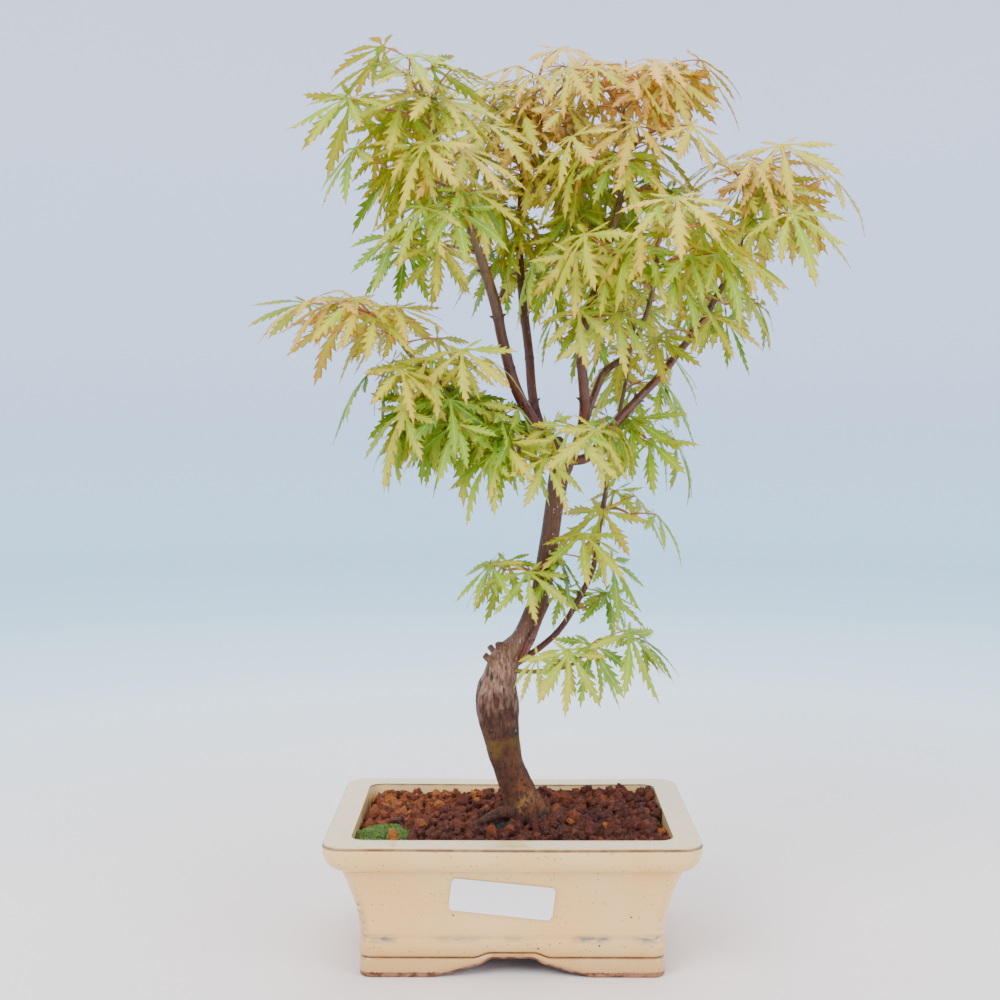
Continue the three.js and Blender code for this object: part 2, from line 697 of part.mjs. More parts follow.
// Corners of a blade's edge as angle in degrees and reach, from one back sinus round to the other.
function bladeEdge(length) {
  const edge = [];
  LOBES.forEach(([degrees, share], k) => {
    const sinus = k === 0 ? -BACK_SINUS : (degrees + LOBES[k - 1][0]) / 2;
    edge.push([sinus, SINUS_SHARE * length], [degrees, share * length]);
  });
  edge.push([BACK_SINUS, SINUS_SHARE * length]);
  return edge;
}

// One leaf: a thin blade of two fans that meet at its edge, drawn out behind into a three-sided petiole.
function leaf({ foot, hub, forward, across, length }, grow) {
  const up = forward.clone().cross(across);
  const from = (a, b, c) =>
    hub.clone().addScaledVector(forward, a).addScaledVector(across, b).addScaledVector(up, c);
  const rim = bladeEdge(length).map(([degrees, reach]) => {
    const angle = THREE.MathUtils.degToRad(degrees);
    const out = reach + EDGE_GROWTH * grow;
    return from(out * Math.cos(angle), out * Math.sin(angle), -LOBE_SAG * length * (reach / length) ** 2);
  });
  const half = LEAF_THICKNESS / 2 + grow;
  const stalk = PETIOLE_RADIUS + grow;
  const course = hub.clone().sub(foot).normalize();
  const right = across.clone().addScaledVector(course, -across.dot(course)).normalize();
  const back = course.clone().cross(right);
  const corners = [[stalk, stalk / 2], [-stalk, stalk / 2], [0, -stalk]];
  const triangleAt = (centre) =>
    corners.map(([b, c]) => centre.clone().addScaledVector(right, b).addScaledVector(back, c));
  const heel = triangleAt(hub.clone().addScaledVector(course, -HEEL));
  const toe = triangleAt(foot.clone().addScaledVector(course, -grow));
  const points = [...rim, ...heel, ...toe, from(0, 0, half), from(0, 0, -half)];
  const last = rim.length - 1;
  const [h0, h1, h2, t0, t1, t2, top, under] = Array.from({ length: 8 }, (_, k) => last + 1 + k);
  const index = [];
  for (let i = 0; i < last; i++) index.push(top, i, i + 1, under, i + 1, i);
  index.push(top, last, h0, top, h0, h1, top, h1, 0);
  index.push(under, h0, last, under, h2, h0, under, h1, h2, under, 0, h1);
  index.push(h0, t0, t1, h0, t1, h1, h1, t1, t2, h1, t2, h2, h2, t2, t0, h2, t0, h0, t0, t2, t1);
  const geometry = new THREE.BufferGeometry().setFromPoints(points);
  geometry.setIndex(index);
  return solid(geometry);
}

// Where each petiole and blade of a spray goes: opposite pairs at nodes, counted back from the tip.
function sprayLayout(name, order) {
  const [carrier, place, reach, leafCount, size, droop] = SPRAYS[name];
  const start = stemCurves[carrier].getPointAt(place);
  const end = start.clone().add(new THREE.Vector3(...reach));
  const middle = start.clone().lerp(end, 0.5);
  middle.z += 0.1 * start.distanceTo(end);
  const twig = curveThrough([start, middle, end]);
  const heading = Math.atan2(reach[1], reach[0]);
  const leaves = Array.from({ length: leafCount }, (_, j) => {
    const single = leafCount % 2 === 1 && j === 0;
    const node = leafCount % 2 === 1 ? Math.ceil(j / 2) : Math.floor(j / 2);
    const side = single ? 0 : j % 2 ? 1 : -1;
    const t = Math.max(1 - (node * NODE_SPACING) / twig.getLength(), 0.15 + 0.1 * vary(order, j));
    const foot = twig.getPointAt(t);
    const swing = side * (0.65 + 0.35 * node) + 0.7 * (vary(order, j + 20) - 0.5);
    const rise = THREE.MathUtils.degToRad(RISE_LEAST + (RISE_MOST - RISE_LEAST) * vary(order, j + 40));
    const stalk = PETIOLE_LENGTH * (0.75 + 0.5 * vary(order, j + 60));
    const hub = foot.clone().addScaledVector(rising(heading + swing, rise), stalk);
    const fall = THREE.MathUtils.degToRad(droop + 24 * (vary(order, j + 80) - 0.5));
    const aim = heading + 1.25 * swing;
    const forward = rising(aim, -fall);
    const level = new THREE.Vector3(-Math.sin(aim), Math.cos(aim), 0);
    const roll = 0.7 * (vary(order, j + 100) - 0.5);
    const across = level.applyAxisAngle(forward, roll);
    const length = LEAF_LENGTH * size * (0.85 + 0.3 * vary(order, j + 120));
    return { foot, hub, forward, across, length };
  });
  return { twig, leaves };
}

function makeTwig({ twig }, grow) {
  return tube(twig, (t) => TWIG_RADIUS * (1.15 - 0.4 * t), 4, 2, grow);
}

// ---------- finishes ----------

function finish(colour, roughness) {
  return new THREE.MeshStandardMaterial({ color: colour, roughness, metalness: 0 });
}

const finishes = {
  glaze: finish(0xd9c9a6, 0.25),
  plastic: finish(0x2b2f2b, 0.6),
  wire: new THREE.MeshStandardMaterial({ color: 0xb0b0aa, roughness: 0.35, metalness: 1 }),
  sticker: finish(0xf4f4f2, 0.5),
  peat: finish(0x1d1512, 0.95),
  granules: finish(0x7c4426, 0.9),
  moss: finish(0x4e7a1c, 0.9),
  darkMoss: finish(0x24350f, 0.95),
  oldBark: finish(0x7a5640, 0.85),
  bark: finish(0x6b4430, 0.7),
  youngBark: finish(0x4e2018, 0.55),
  leaf: finish(0xaac23c, 0.55),
};

// ---------- assembly ----------

const tree = new THREE.Group();

function add(name, body, finishOf) {
  tree.add(piece(name, largestBody(body), finishOf));
}

// Stems: each later one stops a clearance short of those before it.
const stemFinishes = {
  rootstock_trunk: finishes.oldBark,
  scion_trunk: finishes.bark,
};
const stemRoom = {};
for (const name of Object.keys(STEMS)) {
  add(name, clearOf(makeStem(name), Object.values(stemRoom)), stemFinishes[name] ?? finishes.youngBark);
  stemRoom[name] = makeStem(name, CLEARANCE);
}
const allStemRoom = wasm.Manifold.union(Object.values(stemRoom));

// Pot, drainage and sticker.
add("pot", makePot(), finishes.glaze);
add("blank_label", makeLabel(), finishes.sticker);
const clipRoom = [];
["left", "right"].forEach((side, i) => {
  const x = drainHoleCentres()[i];
  add(`drain_screen_${side}`, makeScreen(x), finishes.plastic);
  add(`drain_clip_${side}`, makeClip(x), finishes.wire);
  clipRoom.push(makeClip(x, CLEARANCE), makeScreenRoom(x));
});

// Soil and moss.
add("root_ball", clearOf(potInside(CLEARANCE, ROOT_BALL_TOP), [allStemRoom, ...clipRoom]), finishes.peat);
const mossRoom = [makeMoss(CLEARANCE), makeTuft(CLEARANCE)];
add("akadama_layer", clearOf(makeGranules(), [allStemRoom, ...mossRoom]), finishes.granules);
add("moss_patch", makeMoss(0), finishes.moss);
add("moss_tuft", clearOf(makeTuft(0), [allStemRoom]), finishes.darkMoss);

// Leafy sprays: twigs keep their way past any leaf, and later leaves stop short of earlier ones.
const layouts = Object.keys(SPRAYS).map((name, order) => ({ name, ...sprayLayout(name, order) }));
const twigRoom = layouts.map((layout) => makeTwig(layout, CLEARANCE));
const leafRoom = [];
const sprays = [];
layouts.forEach((layout, i) => {
  const twig = clearOf(makeTwig(layout, 0), [allStemRoom, ...twigRoom.slice(0, i)]);
  const leaves = wasm.Manifold.union(layout.leaves.map((place) => leaf(place, 0)));
  const otherTwigs = twigRoom.filter((_, k) => k !== i);
  const free = clearOf(leaves, [allStemRoom, ...otherTwigs, ...leafRoom]);
  const spray = largestBody(clearOf(twig.add(free), sprays));
  sprays.push(spray);
  add(`${layout.name}_spray`, spray, finishes.leaf);
  leafRoom.push(wasm.Manifold.union(layout.leaves.map((place) => leaf(place, CLEARANCE))));
});

// The whole stands on the origin's plane with its box centred over the origin, to half a millimetre.
const box = new THREE.Box3().setFromObject(tree);
const centre = box.getCenter(new THREE.Vector3());
const toHalf = (value) => Math.round(2 * value) / 2;
tree.position.set(-toHalf(centre.x), -toHalf(centre.y), -box.min.z);

export default tree;
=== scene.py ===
"""A small lace-leaf maple, grafted and trained as a bonsai, in a glazed rectangular pot.

Every surface is worked out in millimetres in the pot's own frame: X along the pot, Y to its back,
Z up from the ground under its feet. The last step of each piece moves it to the shared frame.
"""

import math

import bpy
import numpy as np
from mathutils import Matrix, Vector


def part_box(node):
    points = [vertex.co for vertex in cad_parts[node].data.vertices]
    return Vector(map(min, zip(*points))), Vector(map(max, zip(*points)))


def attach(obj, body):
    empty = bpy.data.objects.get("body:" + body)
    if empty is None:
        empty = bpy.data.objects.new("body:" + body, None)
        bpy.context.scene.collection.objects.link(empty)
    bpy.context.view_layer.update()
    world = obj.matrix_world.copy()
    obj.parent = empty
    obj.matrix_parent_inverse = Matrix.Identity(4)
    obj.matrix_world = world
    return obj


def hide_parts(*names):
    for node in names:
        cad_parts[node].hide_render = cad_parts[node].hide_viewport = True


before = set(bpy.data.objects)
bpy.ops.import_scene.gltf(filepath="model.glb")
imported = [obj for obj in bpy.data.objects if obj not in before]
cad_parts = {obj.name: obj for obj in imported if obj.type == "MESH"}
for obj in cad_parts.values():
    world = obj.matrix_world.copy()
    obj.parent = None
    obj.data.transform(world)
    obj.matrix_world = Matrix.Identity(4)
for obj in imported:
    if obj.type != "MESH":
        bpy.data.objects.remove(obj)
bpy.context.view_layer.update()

bl_info = {
    "name": "Potted lace-leaf maple",
    "version": (1, 0, 0),
    "blender": (4, 5, 0),
    "location": "View3D > Sidebar > Maple",
    "description": "Builds a grafted maple with its pot, soil, moss, label and stage",
    "category": "Object",
}

MM = 0.001
TAU = 2 * math.pi
POT_LOW, POT_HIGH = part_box("pot")
POT_PLACE = np.array([(POT_LOW.x + POT_HIGH.x) / 2, (POT_LOW.y + POT_HIGH.y) / 2, 0.0])

# ---------- the tree's plan, in millimetres from the middle of the trunk at the soil ----------

TRUNK_X = 10
TRUNK_Y = 4

# Middle of the hollow beside the trunk, where a dark tuft grows.
HOLLOW = (TRUNK_X - 15, TRUNK_Y - 9)

# Starting numbers of the random draws; a count is added for each layer, root, stem or spray.
SEEDS = {
    "rootstock": 4, "moss": 5, "tuft": 6, "scion": 9, "granule_place": 11, "granule_tone": 20,
    "granule_shape": 30, "roots": 60, "rings": 70, "branch": 80, "blades": 500,
}

STEMS = {
    "rootstock_trunk": (
        [(0, 0, -14), (-2, 0, 2), (-7, 1, 15), (-13, 1, 31), (-17, 0, 53), (-18, -1, 64),
         (-16, -1, 76), (-14, -1, 84)],
        [8, 10, 9.3, 8.6, 9, 10.6, 11.2, 9],
    ),
    "scion_trunk": (
        [(-13, -1, 86), (-5, -1, 94), (0, -1, 105), (5, -1, 120), (8, -1, 137), (11, -1, 158),
         (14, -1, 178), (17, -2, 190)],
        [6.4, 5.6, 5.1, 5, 5, 4.8, 4.9, 5.2],
    ),
    "left_leader": (
        [(15, -2, 188), (7, -3, 199), (-1, -7, 211), (-9, -12, 227), (-15, -19, 250),
         (-19, -25, 270), (-30, -34, 302), (-42, -42, 329), (-50, -46, 356)],
        [3.4, 3, 2.9, 2.8, 2.7, 2.4, 2, 1.6, 1.1],
    ),
    "rear_leader": (
        [(15, 3, 192), (6, 11, 204), (1, 16, 220), (-1, 22, 247), (-4, 28, 274), (-6, 34, 306),
         (-5, 40, 340), (-1, 44, 368)],
        [2.8, 2.6, 2.5, 2.4, 2.2, 1.8, 1.4, 1],
    ),
    "centre_leader": (
        [(18, -5, 189), (24, -8, 199), (27, -12, 216), (25, -18, 245), (27, -22, 259),
         (35, -16, 285), (43, -8, 315), (48, 2, 344), (47, 6, 375)],
        [2.9, 2.8, 2.6, 2.3, 2, 1.7, 1.4, 1.2, 0.9],
    ),
    "right_leader": (
        [(19, 2, 188), (31, 4, 191), (47, 10, 210), (68, 18, 232), (79, 20, 246), (90, 22, 260),
         (98, 24, 274), (107, 26, 290), (113, 28, 307), (115, 31, 335)],
        [2.7, 2.6, 2.4, 2.2, 2.1, 1.9, 1.7, 1.5, 1.2, 0.9],
    ),
    "centre_right_stem": (
        [(26, -9, 200), (29, -6, 212), (34, -2, 225), (38, 0, 234), (48, -8, 242), (54, -18, 254),
         (58, -28, 268), (60, -38, 282), (60, -44, 296)],
        [2, 2, 1.9, 1.8, 1.5, 1.4, 1.2, 1.1, 0.9],
    ),
    "long_side_shoot": (
        [(-9, 3, 80), (7, 6, 91), (17, 8, 101), (26, 12, 116), (33, 16, 131), (37, 22, 153),
         (41, 28, 172), (45, 36, 198), (50, 42, 217), (56, 50, 250), (58, 54, 265)],
        [1.7, 1.7, 1.6, 1.6, 1.5, 1.4, 1.3, 1.2, 1.1, 1, 0.9],
    ),
    "low_side_shoot": (
        [(-10, -6, 79), (2, -8, 79), (12, -12, 81), (20, -16, 84), (26, -20, 90), (33, -24, 98)],
        [1.3, 1.2, 1.1, 1, 1, 0.9],
    ),
    "side_branch_left": (
        [(9, -6, 196), (-3, -12, 202), (-16, -16, 207), (-26, -22, 213), (-43, -29, 226),
         (-58, -35, 239), (-70, -40, 255)],
        [1.8, 1.7, 1.5, 1.4, 1.2, 1.1, 0.9],
    ),
    "short_shoot": (
        [(-6, -5.5, 84), (-3, -7.2, 92), (1, -7.6, 99), (5, -7.6, 107), (9, -7.4, 115)],
        [1.5, 1.4, 1.2, 1.1, 0.9],
    ),
}

# How green each stem is at its root and at its tip: 0 is old brown wood and 1 this year's growth.
STEM_YOUTH = {
    "left_leader": (0.0, 0.75),
    "rear_leader": (0.05, 0.7),
    "centre_leader": (0.1, 0.7),
    "right_leader": (0.1, 0.55),
    "centre_right_stem": (0.15, 0.7),
    "long_side_shoot": (0.05, 0.6),
    "low_side_shoot": (0.75, 1.0),
    "side_branch_left": (0.5, 1.0),
    "short_shoot": (0.0, 0.15),
}

ROOTS = [
    ([(-4, -2, 3), (-16, -7, 4.5), (-25, -15, 2.5), (-31, -19, 1)], [4, 3.2, 2.4, 1.8]),
    ([(3, 2, 0), (14, 5, 0.5), (22, 9, -3)], [5, 3.2, 2]),
    ([(0, -2, -8), (12, -10, -16), (34, -18, -22)], [5, 3, 1.6]),
    ([(-2, 2, -8), (-14, 10, -15), (-46, 18, -22)], [5, 3, 1.6]),
    ([(0, 2, -8), (6, 14, -15), (16, 30, -22)], [5, 3, 1.6]),
    ([(-2, -2, -8), (-12, -12, -16), (-30, -24, -22)], [5, 3, 1.6]),
]

# Cut-off side shoots: root, end and thickness.
STUBS = [
    ((-19, -6, 82), (-24, -9, 88), 1.9),
    ((-15, -6, 87), (-17, -9, 94), 2.4),
    ((-17, 3, 84), (-22, 7, 90), 1.7),
    ((3, -3, 126), (-2, -8, 132), 1.5),
    ((8, -4, 131), (6, -9, 127), 1.3),
    ((14, -6, 192), (14, -11, 200), 2.6),
    ((9, 2, 150), (14, 6, 156), 1.4),
    ((-18, -24, 266), (-14, -29, 274), 1.0),
]

# carrier stem, place along it, reach of the twig, leaves, size, droop in degrees, tint. The tint is
# partly the leaves' age and partly painted light: low for shaded sprays inside, high for sunlit
# tops.
SPRAYS = {
    "crown_left": ("left_leader", 0.97, (-12, -10, 22), 5, 1, 35, 0.42),
    "crown_left_top": ("left_leader", 0.99, (4, -4, 14), 3, 0.9, 15, 0.5),
    "left_high": ("left_leader", 0.88, (-26, -14, -6), 5, 1, 50, 0.36),
    "left_inner": ("left_leader", 0.82, (-4, -28, 8), 3, 1, 45, 0.4),
    "left_middle": ("left_leader", 0.74, (-8, -26, -4), 4, 1, 50, 0.3),
    "left_rear": ("left_leader", 0.8, (-24, 24, 6), 5, 1, 45, 0.22),
    "left_low": ("left_leader", 0.62, (-30, 4, 2), 4, 1, 50, 0.3),
    "side_tip": ("side_branch_left", 0.98, (-14, -6, 8), 3, 1.15, 25, 0.6),
    "side_up": ("side_branch_left", 0.86, (-4, 10, 18), 3, 0.95, 35, 0.5),
    "side_low": ("side_branch_left", 0.7, (-14, -16, -4), 4, 1.05, 50, 0.24),
    "side_middle": ("side_branch_left", 0.56, (4, -12, 20), 3, 0.9, 40, 0.3),
    "mass_front": ("side_branch_left", 0.3, (-10, -26, -8), 5, 1.05, 54, 0.22),
    "mass_left": ("side_branch_left", 0.42, (-22, -8, -14), 5, 1.1, 54, 0.2),
    "mass_rear": ("side_branch_left", 0.36, (-18, 26, -8), 5, 1, 50, 0.14),
    "mass_low": ("side_branch_left", 0.16, (-2, -30, -14), 4, 1, 54, 0.2),
    "fork_front": ("centre_leader", 0.08, (0, -30, -2), 4, 1, 54, 0.24),
    "right_low": ("long_side_shoot", 0.7, (16, -16, -6), 4, 1, 50, 0.2),
    "right_rear": ("long_side_shoot", 0.8, (14, 26, 4), 4, 1, 50, 0.16),
    "right_middle": ("long_side_shoot", 0.86, (10, -24, 8), 3, 0.95, 45, 0.26),
    "right_top": ("long_side_shoot", 0.98, (-6, 16, 16), 4, 1, 40, 0.26),
    "right_node": ("right_leader", 0.52, (4, -18, 6), 3, 0.9, 50, 0.24),
    "right_upper": ("right_leader", 0.7, (-8, -24, 8), 4, 1, 45, 0.34),
    "right_outer": ("right_leader", 0.62, (12, 24, 4), 4, 1, 50, 0.26),
    "trunk_left": ("scion_trunk", 0.42, (-20, -16, 6), 5, 0.95, 54, 0.16),
    "shoot_front": ("long_side_shoot", 0.3, (-4, -22, 20), 3, 0.95, 50, 0.28),
    "shoot_right": ("long_side_shoot", 0.48, (14, -10, -2), 3, 1, 40, 0.28),
    "low_front": ("low_side_shoot", 0.55, (0, -20, 10), 3, 0.9, 50, 0.16),
    "low_tip": ("low_side_shoot", 0.98, (6, -12, 2), 3, 1, 50, 0.22),
    "low_rear": ("long_side_shoot", 0.2, (10, 12, 0), 3, 0.85, 45, 0.14),
    "tip_top": ("right_leader", 0.97, (-6, -8, 10), 3, 0.95, 25, 0.64),
    "tip_right": ("right_leader", 0.92, (24, -12, 8), 5, 1.05, 50, 0.5),
    "tip_front": ("right_leader", 0.84, (14, -20, 6), 4, 1, 50, 0.46),
    "fore_right": ("centre_right_stem", 0.98, (6, -18, 12), 5, 1.25, 35, 0.38),
    "fore_left": ("centre_right_stem", 0.78, (-22, -24, 16), 5, 1.1, 45, 0.42),
    "top_middle": ("rear_leader", 0.98, (32, -24, 30), 5, 1, 30, 0.78),
    "top_left": ("rear_leader", 0.92, (-14, -14, 20), 5, 1, 30, 0.5),
    "top_right": ("centre_leader", 0.97, (26, -6, 22), 5, 1, 35, 0.7),
    "top_front": ("centre_leader", 0.84, (16, -24, 10), 5, 1, 40, 0.6),
    "rear_high": ("rear_leader", 0.82, (10, 30, 10), 5, 1, 45, 0.45),
    "rear_low": ("rear_leader", 0.55, (-10, 30, 4), 5, 1, 50, 0.2),
}


# ---------- settings ----------


def length_setting(name, description, millimetres):
    """A length that is shown in the scene's unit and given here in millimetres."""
    return bpy.props.FloatProperty(
        name=name, description=description, default=millimetres * MM, min=0.0, unit="LENGTH",
        precision=5
    )


def count_setting(name, description, count):
    """A whole number of things."""
    return bpy.props.IntProperty(name=name, description=description, default=count, min=0)


def linear(*tint):
    """A paint-chart colour turned into light: each channel to the power 2.2."""
    return tuple(channel**2.2 for channel in tint)


def colour_setting(name, description, *tint):
    """A colour given as it looks on a paint chart, kept as light."""
    return bpy.props.FloatVectorProperty(
        name=name, description=description, default=linear(*tint), size=3, min=0.0, max=1.0,
        subtype="COLOR"
    )


class PotSettings(bpy.types.PropertyGroup):
    """Sizes and colours of the pot, its glaze and the sticker on it."""

    length: length_setting("Length", "Widest length of the pot", (POT_HIGH.x - POT_LOW.x) / MM)
    depth: length_setting("Depth", "Widest depth of the pot", (POT_HIGH.y - POT_LOW.y) / MM)
    height: length_setting(
        "Height", "Height of the rim over the ground", (POT_HIGH.z - POT_LOW.z) / MM
    )
    wall: length_setting("Wall", "Thickness of the wall", 6.5)
    rim: length_setting("Rim", "Width of the flat rim", 13.5)
    corner: length_setting("Corner radius", "Radius of the rim's outer corners", 11)
    bulge: length_setting("Bulge height", "Height of the rounded band under the rim", 12)
    bulge_depth: length_setting("Bulge depth", "How far the band stands out from the wall", 8)
    foot_inset: length_setting("Foot inset", "How far the foot stands in from the rim", 17)
    foot: length_setting("Foot height", "Height of the foot rail", 10)
    rail: length_setting("Foot rail", "Width of the foot rail", 9)
    floor: length_setting("Floor", "Thickness of the pot's floor", 7)
    bead: length_setting("Bead height", "Height of the rounded bead over the foot", 9)
    arch: length_setting("Arch height", "Height of the arches cut through the foot", 9.4)
    front_arch: length_setting("Front arch", "Length of the arch in the long sides", 88)
    side_arch: length_setting("Side arch", "Length of the arch in the short sides", 46)
    hole: length_setting("Drain hole radius", "Radius of the two drain holes", 8)
    hole_spacing: length_setting("Drain hole spacing", "Distance between the drain holes", 76)
    glaze: colour_setting("Glaze", "Cream glaze", 0.935, 0.72, 0.41)
    glaze_light: colour_setting("Thick glaze", "Paler glaze on the rim", 0.935, 0.825, 0.59)
    glaze_break: colour_setting(
        "Thin glaze", "Brown where the glaze runs thin on edges", 0.36, 0.22, 0.14
    )
    glaze_blue: colour_setting("Pooled glaze", "Grey-blue where the glaze pools", 0.36, 0.39, 0.40)
    clay: colour_setting("Bare clay", "Unglazed fired clay", 0.34, 0.20, 0.13)


class SoilSettings(bpy.types.PropertyGroup):
    """Sizes and colours of the soil, the clay granules and the moss."""

    below_rim: length_setting("Below the rim", "How far the granules lie below the rim", 5)
    granule: length_setting("Granule size", "Usual size of a clay granule", 4.5)
    filaments: count_setting("Moss filaments", "Number of moss filaments on the patch", 3000)
    dark: colour_setting("Dark granule", "Darkest granules", 0.23, 0.085, 0.012)
    middle: colour_setting("Brown granule", "Most of the granules", 0.40, 0.165, 0.03)
    light: colour_setting("Light granule", "Dry granules", 0.71, 0.41, 0.14)
    peat: colour_setting("Peat", "Peaty soil of the root ball", 0.07, 0.05, 0.04)
    moss: colour_setting("Moss", "Fresh moss", 0.46, 0.60, 0.03)
    moss_deep: colour_setting("Deep moss", "Shaded moss", 0.05, 0.11, 0.02)


class TreeSettings(bpy.types.PropertyGroup):
    """Sizes and colours of the wood and the leaves."""

    leaf: length_setting("Leaf length", "Length of a leaf's main lobe", 33)
    stalk: length_setting("Leaf stalk", "Length of a leaf's stalk", 17)
    node_spacing: length_setting("Node spacing", "Distance between pairs of leaves on a twig", 17)
    twig: length_setting("Twig radius", "Radius of a leafy twig", 0.9)
    density: bpy.props.FloatProperty(
        name="Leaf density", description="Leaves shown for each planned leaf", default=1.5, min=1.0,
        max=3.0
    )
    old_bark: colour_setting("Old bark", "Rough bark at the foot of the trunk", 0.43, 0.235, 0.055)
    peeling: colour_setting("Peeling bark", "Grey-pink bark of the graft union", 0.55, 0.40, 0.30)
    scion: colour_setting("Scion bark", "Smooth bark over the graft", 0.40, 0.235, 0.065)
    olive: colour_setting("Olive bark", "Green-brown side of the scion", 0.42, 0.33, 0.07)
    branch: colour_setting("Branch", "Older branches", 0.29, 0.095, 0.06)
    shoot: colour_setting("Shoot", "This year's shoots", 0.44, 0.38, 0.12)
    stalk_red: colour_setting("Stalk", "Leaf stalks in the sun", 0.78, 0.40, 0.20)
    # Leaf tones from dark to pale. The shade green and the yellow are partly painted light: shade
    # inside the crown and sun on the outer leaves.
    leaf_deep: colour_setting("Shade leaf", "Leaves inside the crown", 0.36, 0.54, 0.05)
    leaf_green: colour_setting("Leaf", "Most of the leaves", 0.66, 0.76, 0.11)
    leaf_yellow: colour_setting("Young leaf", "Leaves that have just opened", 0.88, 0.82, 0.22)
    leaf_peach: colour_setting("Top leaf", "Newest leaves at the top", 0.97, 0.745, 0.32)
    leaf_margin: colour_setting("Leaf margin", "Reddish edges and tips", 0.60, 0.24, 0.09)


class StageSettings(bpy.types.PropertyGroup):
    """Floor, backdrop, light and camera."""

    radius: length_setting("Backdrop radius", "Distance of the round backdrop", 2600)
    floor: colour_setting("Floor", "Pale floor", 0.93, 0.885, 0.855)
    haze: colour_setting("Haze", "Floor behind the object", 0.88, 0.95, 0.97)
    blue: colour_setting("Blue", "Lower part of the backdrop", 0.78, 0.94, 1.0)
    top: colour_setting("Top", "Upper part of the backdrop", 0.93, 0.91, 0.97)
    key: bpy.props.FloatProperty(
        name="Key light", description="Power of the large soft light", default=46.0, min=0.0,
        unit="POWER"
    )
    fill: bpy.props.FloatProperty(
        name="Fill light", description="Power of the lamp on the other side", default=22.0,
        min=0.0, unit="POWER"
    )
    sky: bpy.props.FloatProperty(
        name="Sky", description="Strength of the even light from all round", default=1.08, min=0.0
    )


# ---------- numbers and shapes ----------


def vary(piece, feature):
    """A repeatable number from 0 to 1: the fraction of a large sine of the piece and its
    feature."""
    wave = np.sin(piece * 12.9898 + np.asarray(feature) * 78.233) * 43758.5453
    return wave - np.floor(wave)


def ease(value, start, end):
    """0 before start, 1 after end, and a smooth S between them (three squares less two cubes)."""
    share = np.clip((np.asarray(value, float) - start) / (end - start), 0, 1)
    return share * share * (3 - 2 * share)


def unit(vectors):
    """Each vector divided by its length."""
    return vectors / np.linalg.norm(vectors, axis=-1, keepdims=True)


def ripple(around, distance, seed, waves=9, finest=9.0, longest=30.0):
    """Uneven swell round and along a stem: the sum of seeded sine waves, each a whole number of
    turns round the stem and a share of its length, with the finer waves lower."""
    dice = np.random.default_rng(seed)
    turns = dice.integers(0, int(finest), waves)
    pace = dice.uniform(-1, 1, waves) * TAU * (1 + turns) / longest
    phase = dice.uniform(0, TAU, waves)
    height = 1 / (1.0 + turns)
    total = sum(
        h * np.sin(n * around + p * distance + f) for n, p, f, h in zip(turns, pace, phase, height)
    )
    return total / height.sum()


def grid_faces(rows, columns, joined_rows=False, joined_columns=True):
    """Four-sided faces between the neighbours of a grid. They face out where columns run
    anticlockwise round the way that the rows run."""
    row = np.arange(rows if joined_rows else rows - 1)
    column = np.arange(columns if joined_columns else columns - 1)
    row, column = (part.ravel() for part in np.meshgrid(row, column, indexing="ij"))
    next_row = (row + 1) % rows
    next_column = (column + 1) % columns
    corners = [
        row * columns + column,
        row * columns + next_column,
        next_row * columns + next_column,
        next_row * columns + column,
    ]
    return np.stack(corners, axis=-1)


def end_faces(rows, columns):
    """Three-sided faces that close both ends of a tube of rings round two middle points, which come
    after the rings in the list of points."""
    here = np.arange(columns)
    after = (here + 1) % columns
    last = (rows - 1) * columns
    first_cap = np.stack([np.full(columns, rows * columns), after, here], axis=-1)
    last_cap = np.stack([np.full(columns, rows * columns + 1), last + here, last + after], axis=-1)
    return np.concatenate([first_cap, last_cap])


def closed_rings(rings):
    """Points of closed tubes: the rings of shape (..., rows, columns, 3), then the middle of the
    first ring and of the last."""
    rows, columns = rings.shape[-3:-1]
    flat = rings.reshape(rings.shape[:-3] + (rows * columns, 3))
    middles = rings[..., [0, -1], :, :].mean(axis=-2)
    return np.concatenate([flat, middles], axis=-2)


def repeated(faces, copies, points_each):
    """The same faces for a number of equal shapes whose points follow each other."""
    start = np.arange(copies)[:, None, None] * points_each
    return (faces[None] + start).reshape(-1, faces.shape[-1])


def tube_shapes(rings):
    """Points and faces of many closed tubes from rings of shape (tubes, rows, columns, 3)."""
    tubes, rows, columns = rings.shape[:3]
    points = closed_rings(rings)
    each = points.shape[1]
    faces = [
        repeated(grid_faces(rows, columns), tubes, each),
        repeated(end_faces(rows, columns), tubes, each),
    ]
    return points.reshape(-1, 3), faces


def smooth_path(corners, count):
    """Evenly spaced points on a Catmull-Rom curve: between two corners it is the cubic that leaves
    and arrives along the chord of the corners on either side."""
    corners = np.asarray(corners, float)
    ends = np.vstack([2 * corners[0] - corners[1], corners, 2 * corners[-1] - corners[-2]])
    stretches = len(corners) - 1
    place = np.linspace(0, stretches, stretches * 60 + 1)
    k = np.minimum(place.astype(int), stretches - 1)
    w = (place - k)[:, None]
    before, here, there, after = (ends[k + step] for step in range(4))
    leave = (there - before) / 2
    arrive = (after - here) / 2
    square = 3 * (there - here) - 2 * leave - arrive
    cube = 2 * (here - there) + leave + arrive
    curve = here + leave * w + square * w**2 + cube * w**3
    reached = np.concatenate([[0], np.cumsum(np.linalg.norm(np.diff(curve, axis=0), axis=1))])
    even = np.linspace(0, reached[-1], count)
    return np.stack([np.interp(even, reached, curve[:, axis]) for axis in range(3)], axis=-1)


def path_length(path):
    """Length of each path: the sum of the steps between its points."""
    return np.linalg.norm(np.diff(path, axis=-2), axis=-1).sum(axis=-1)


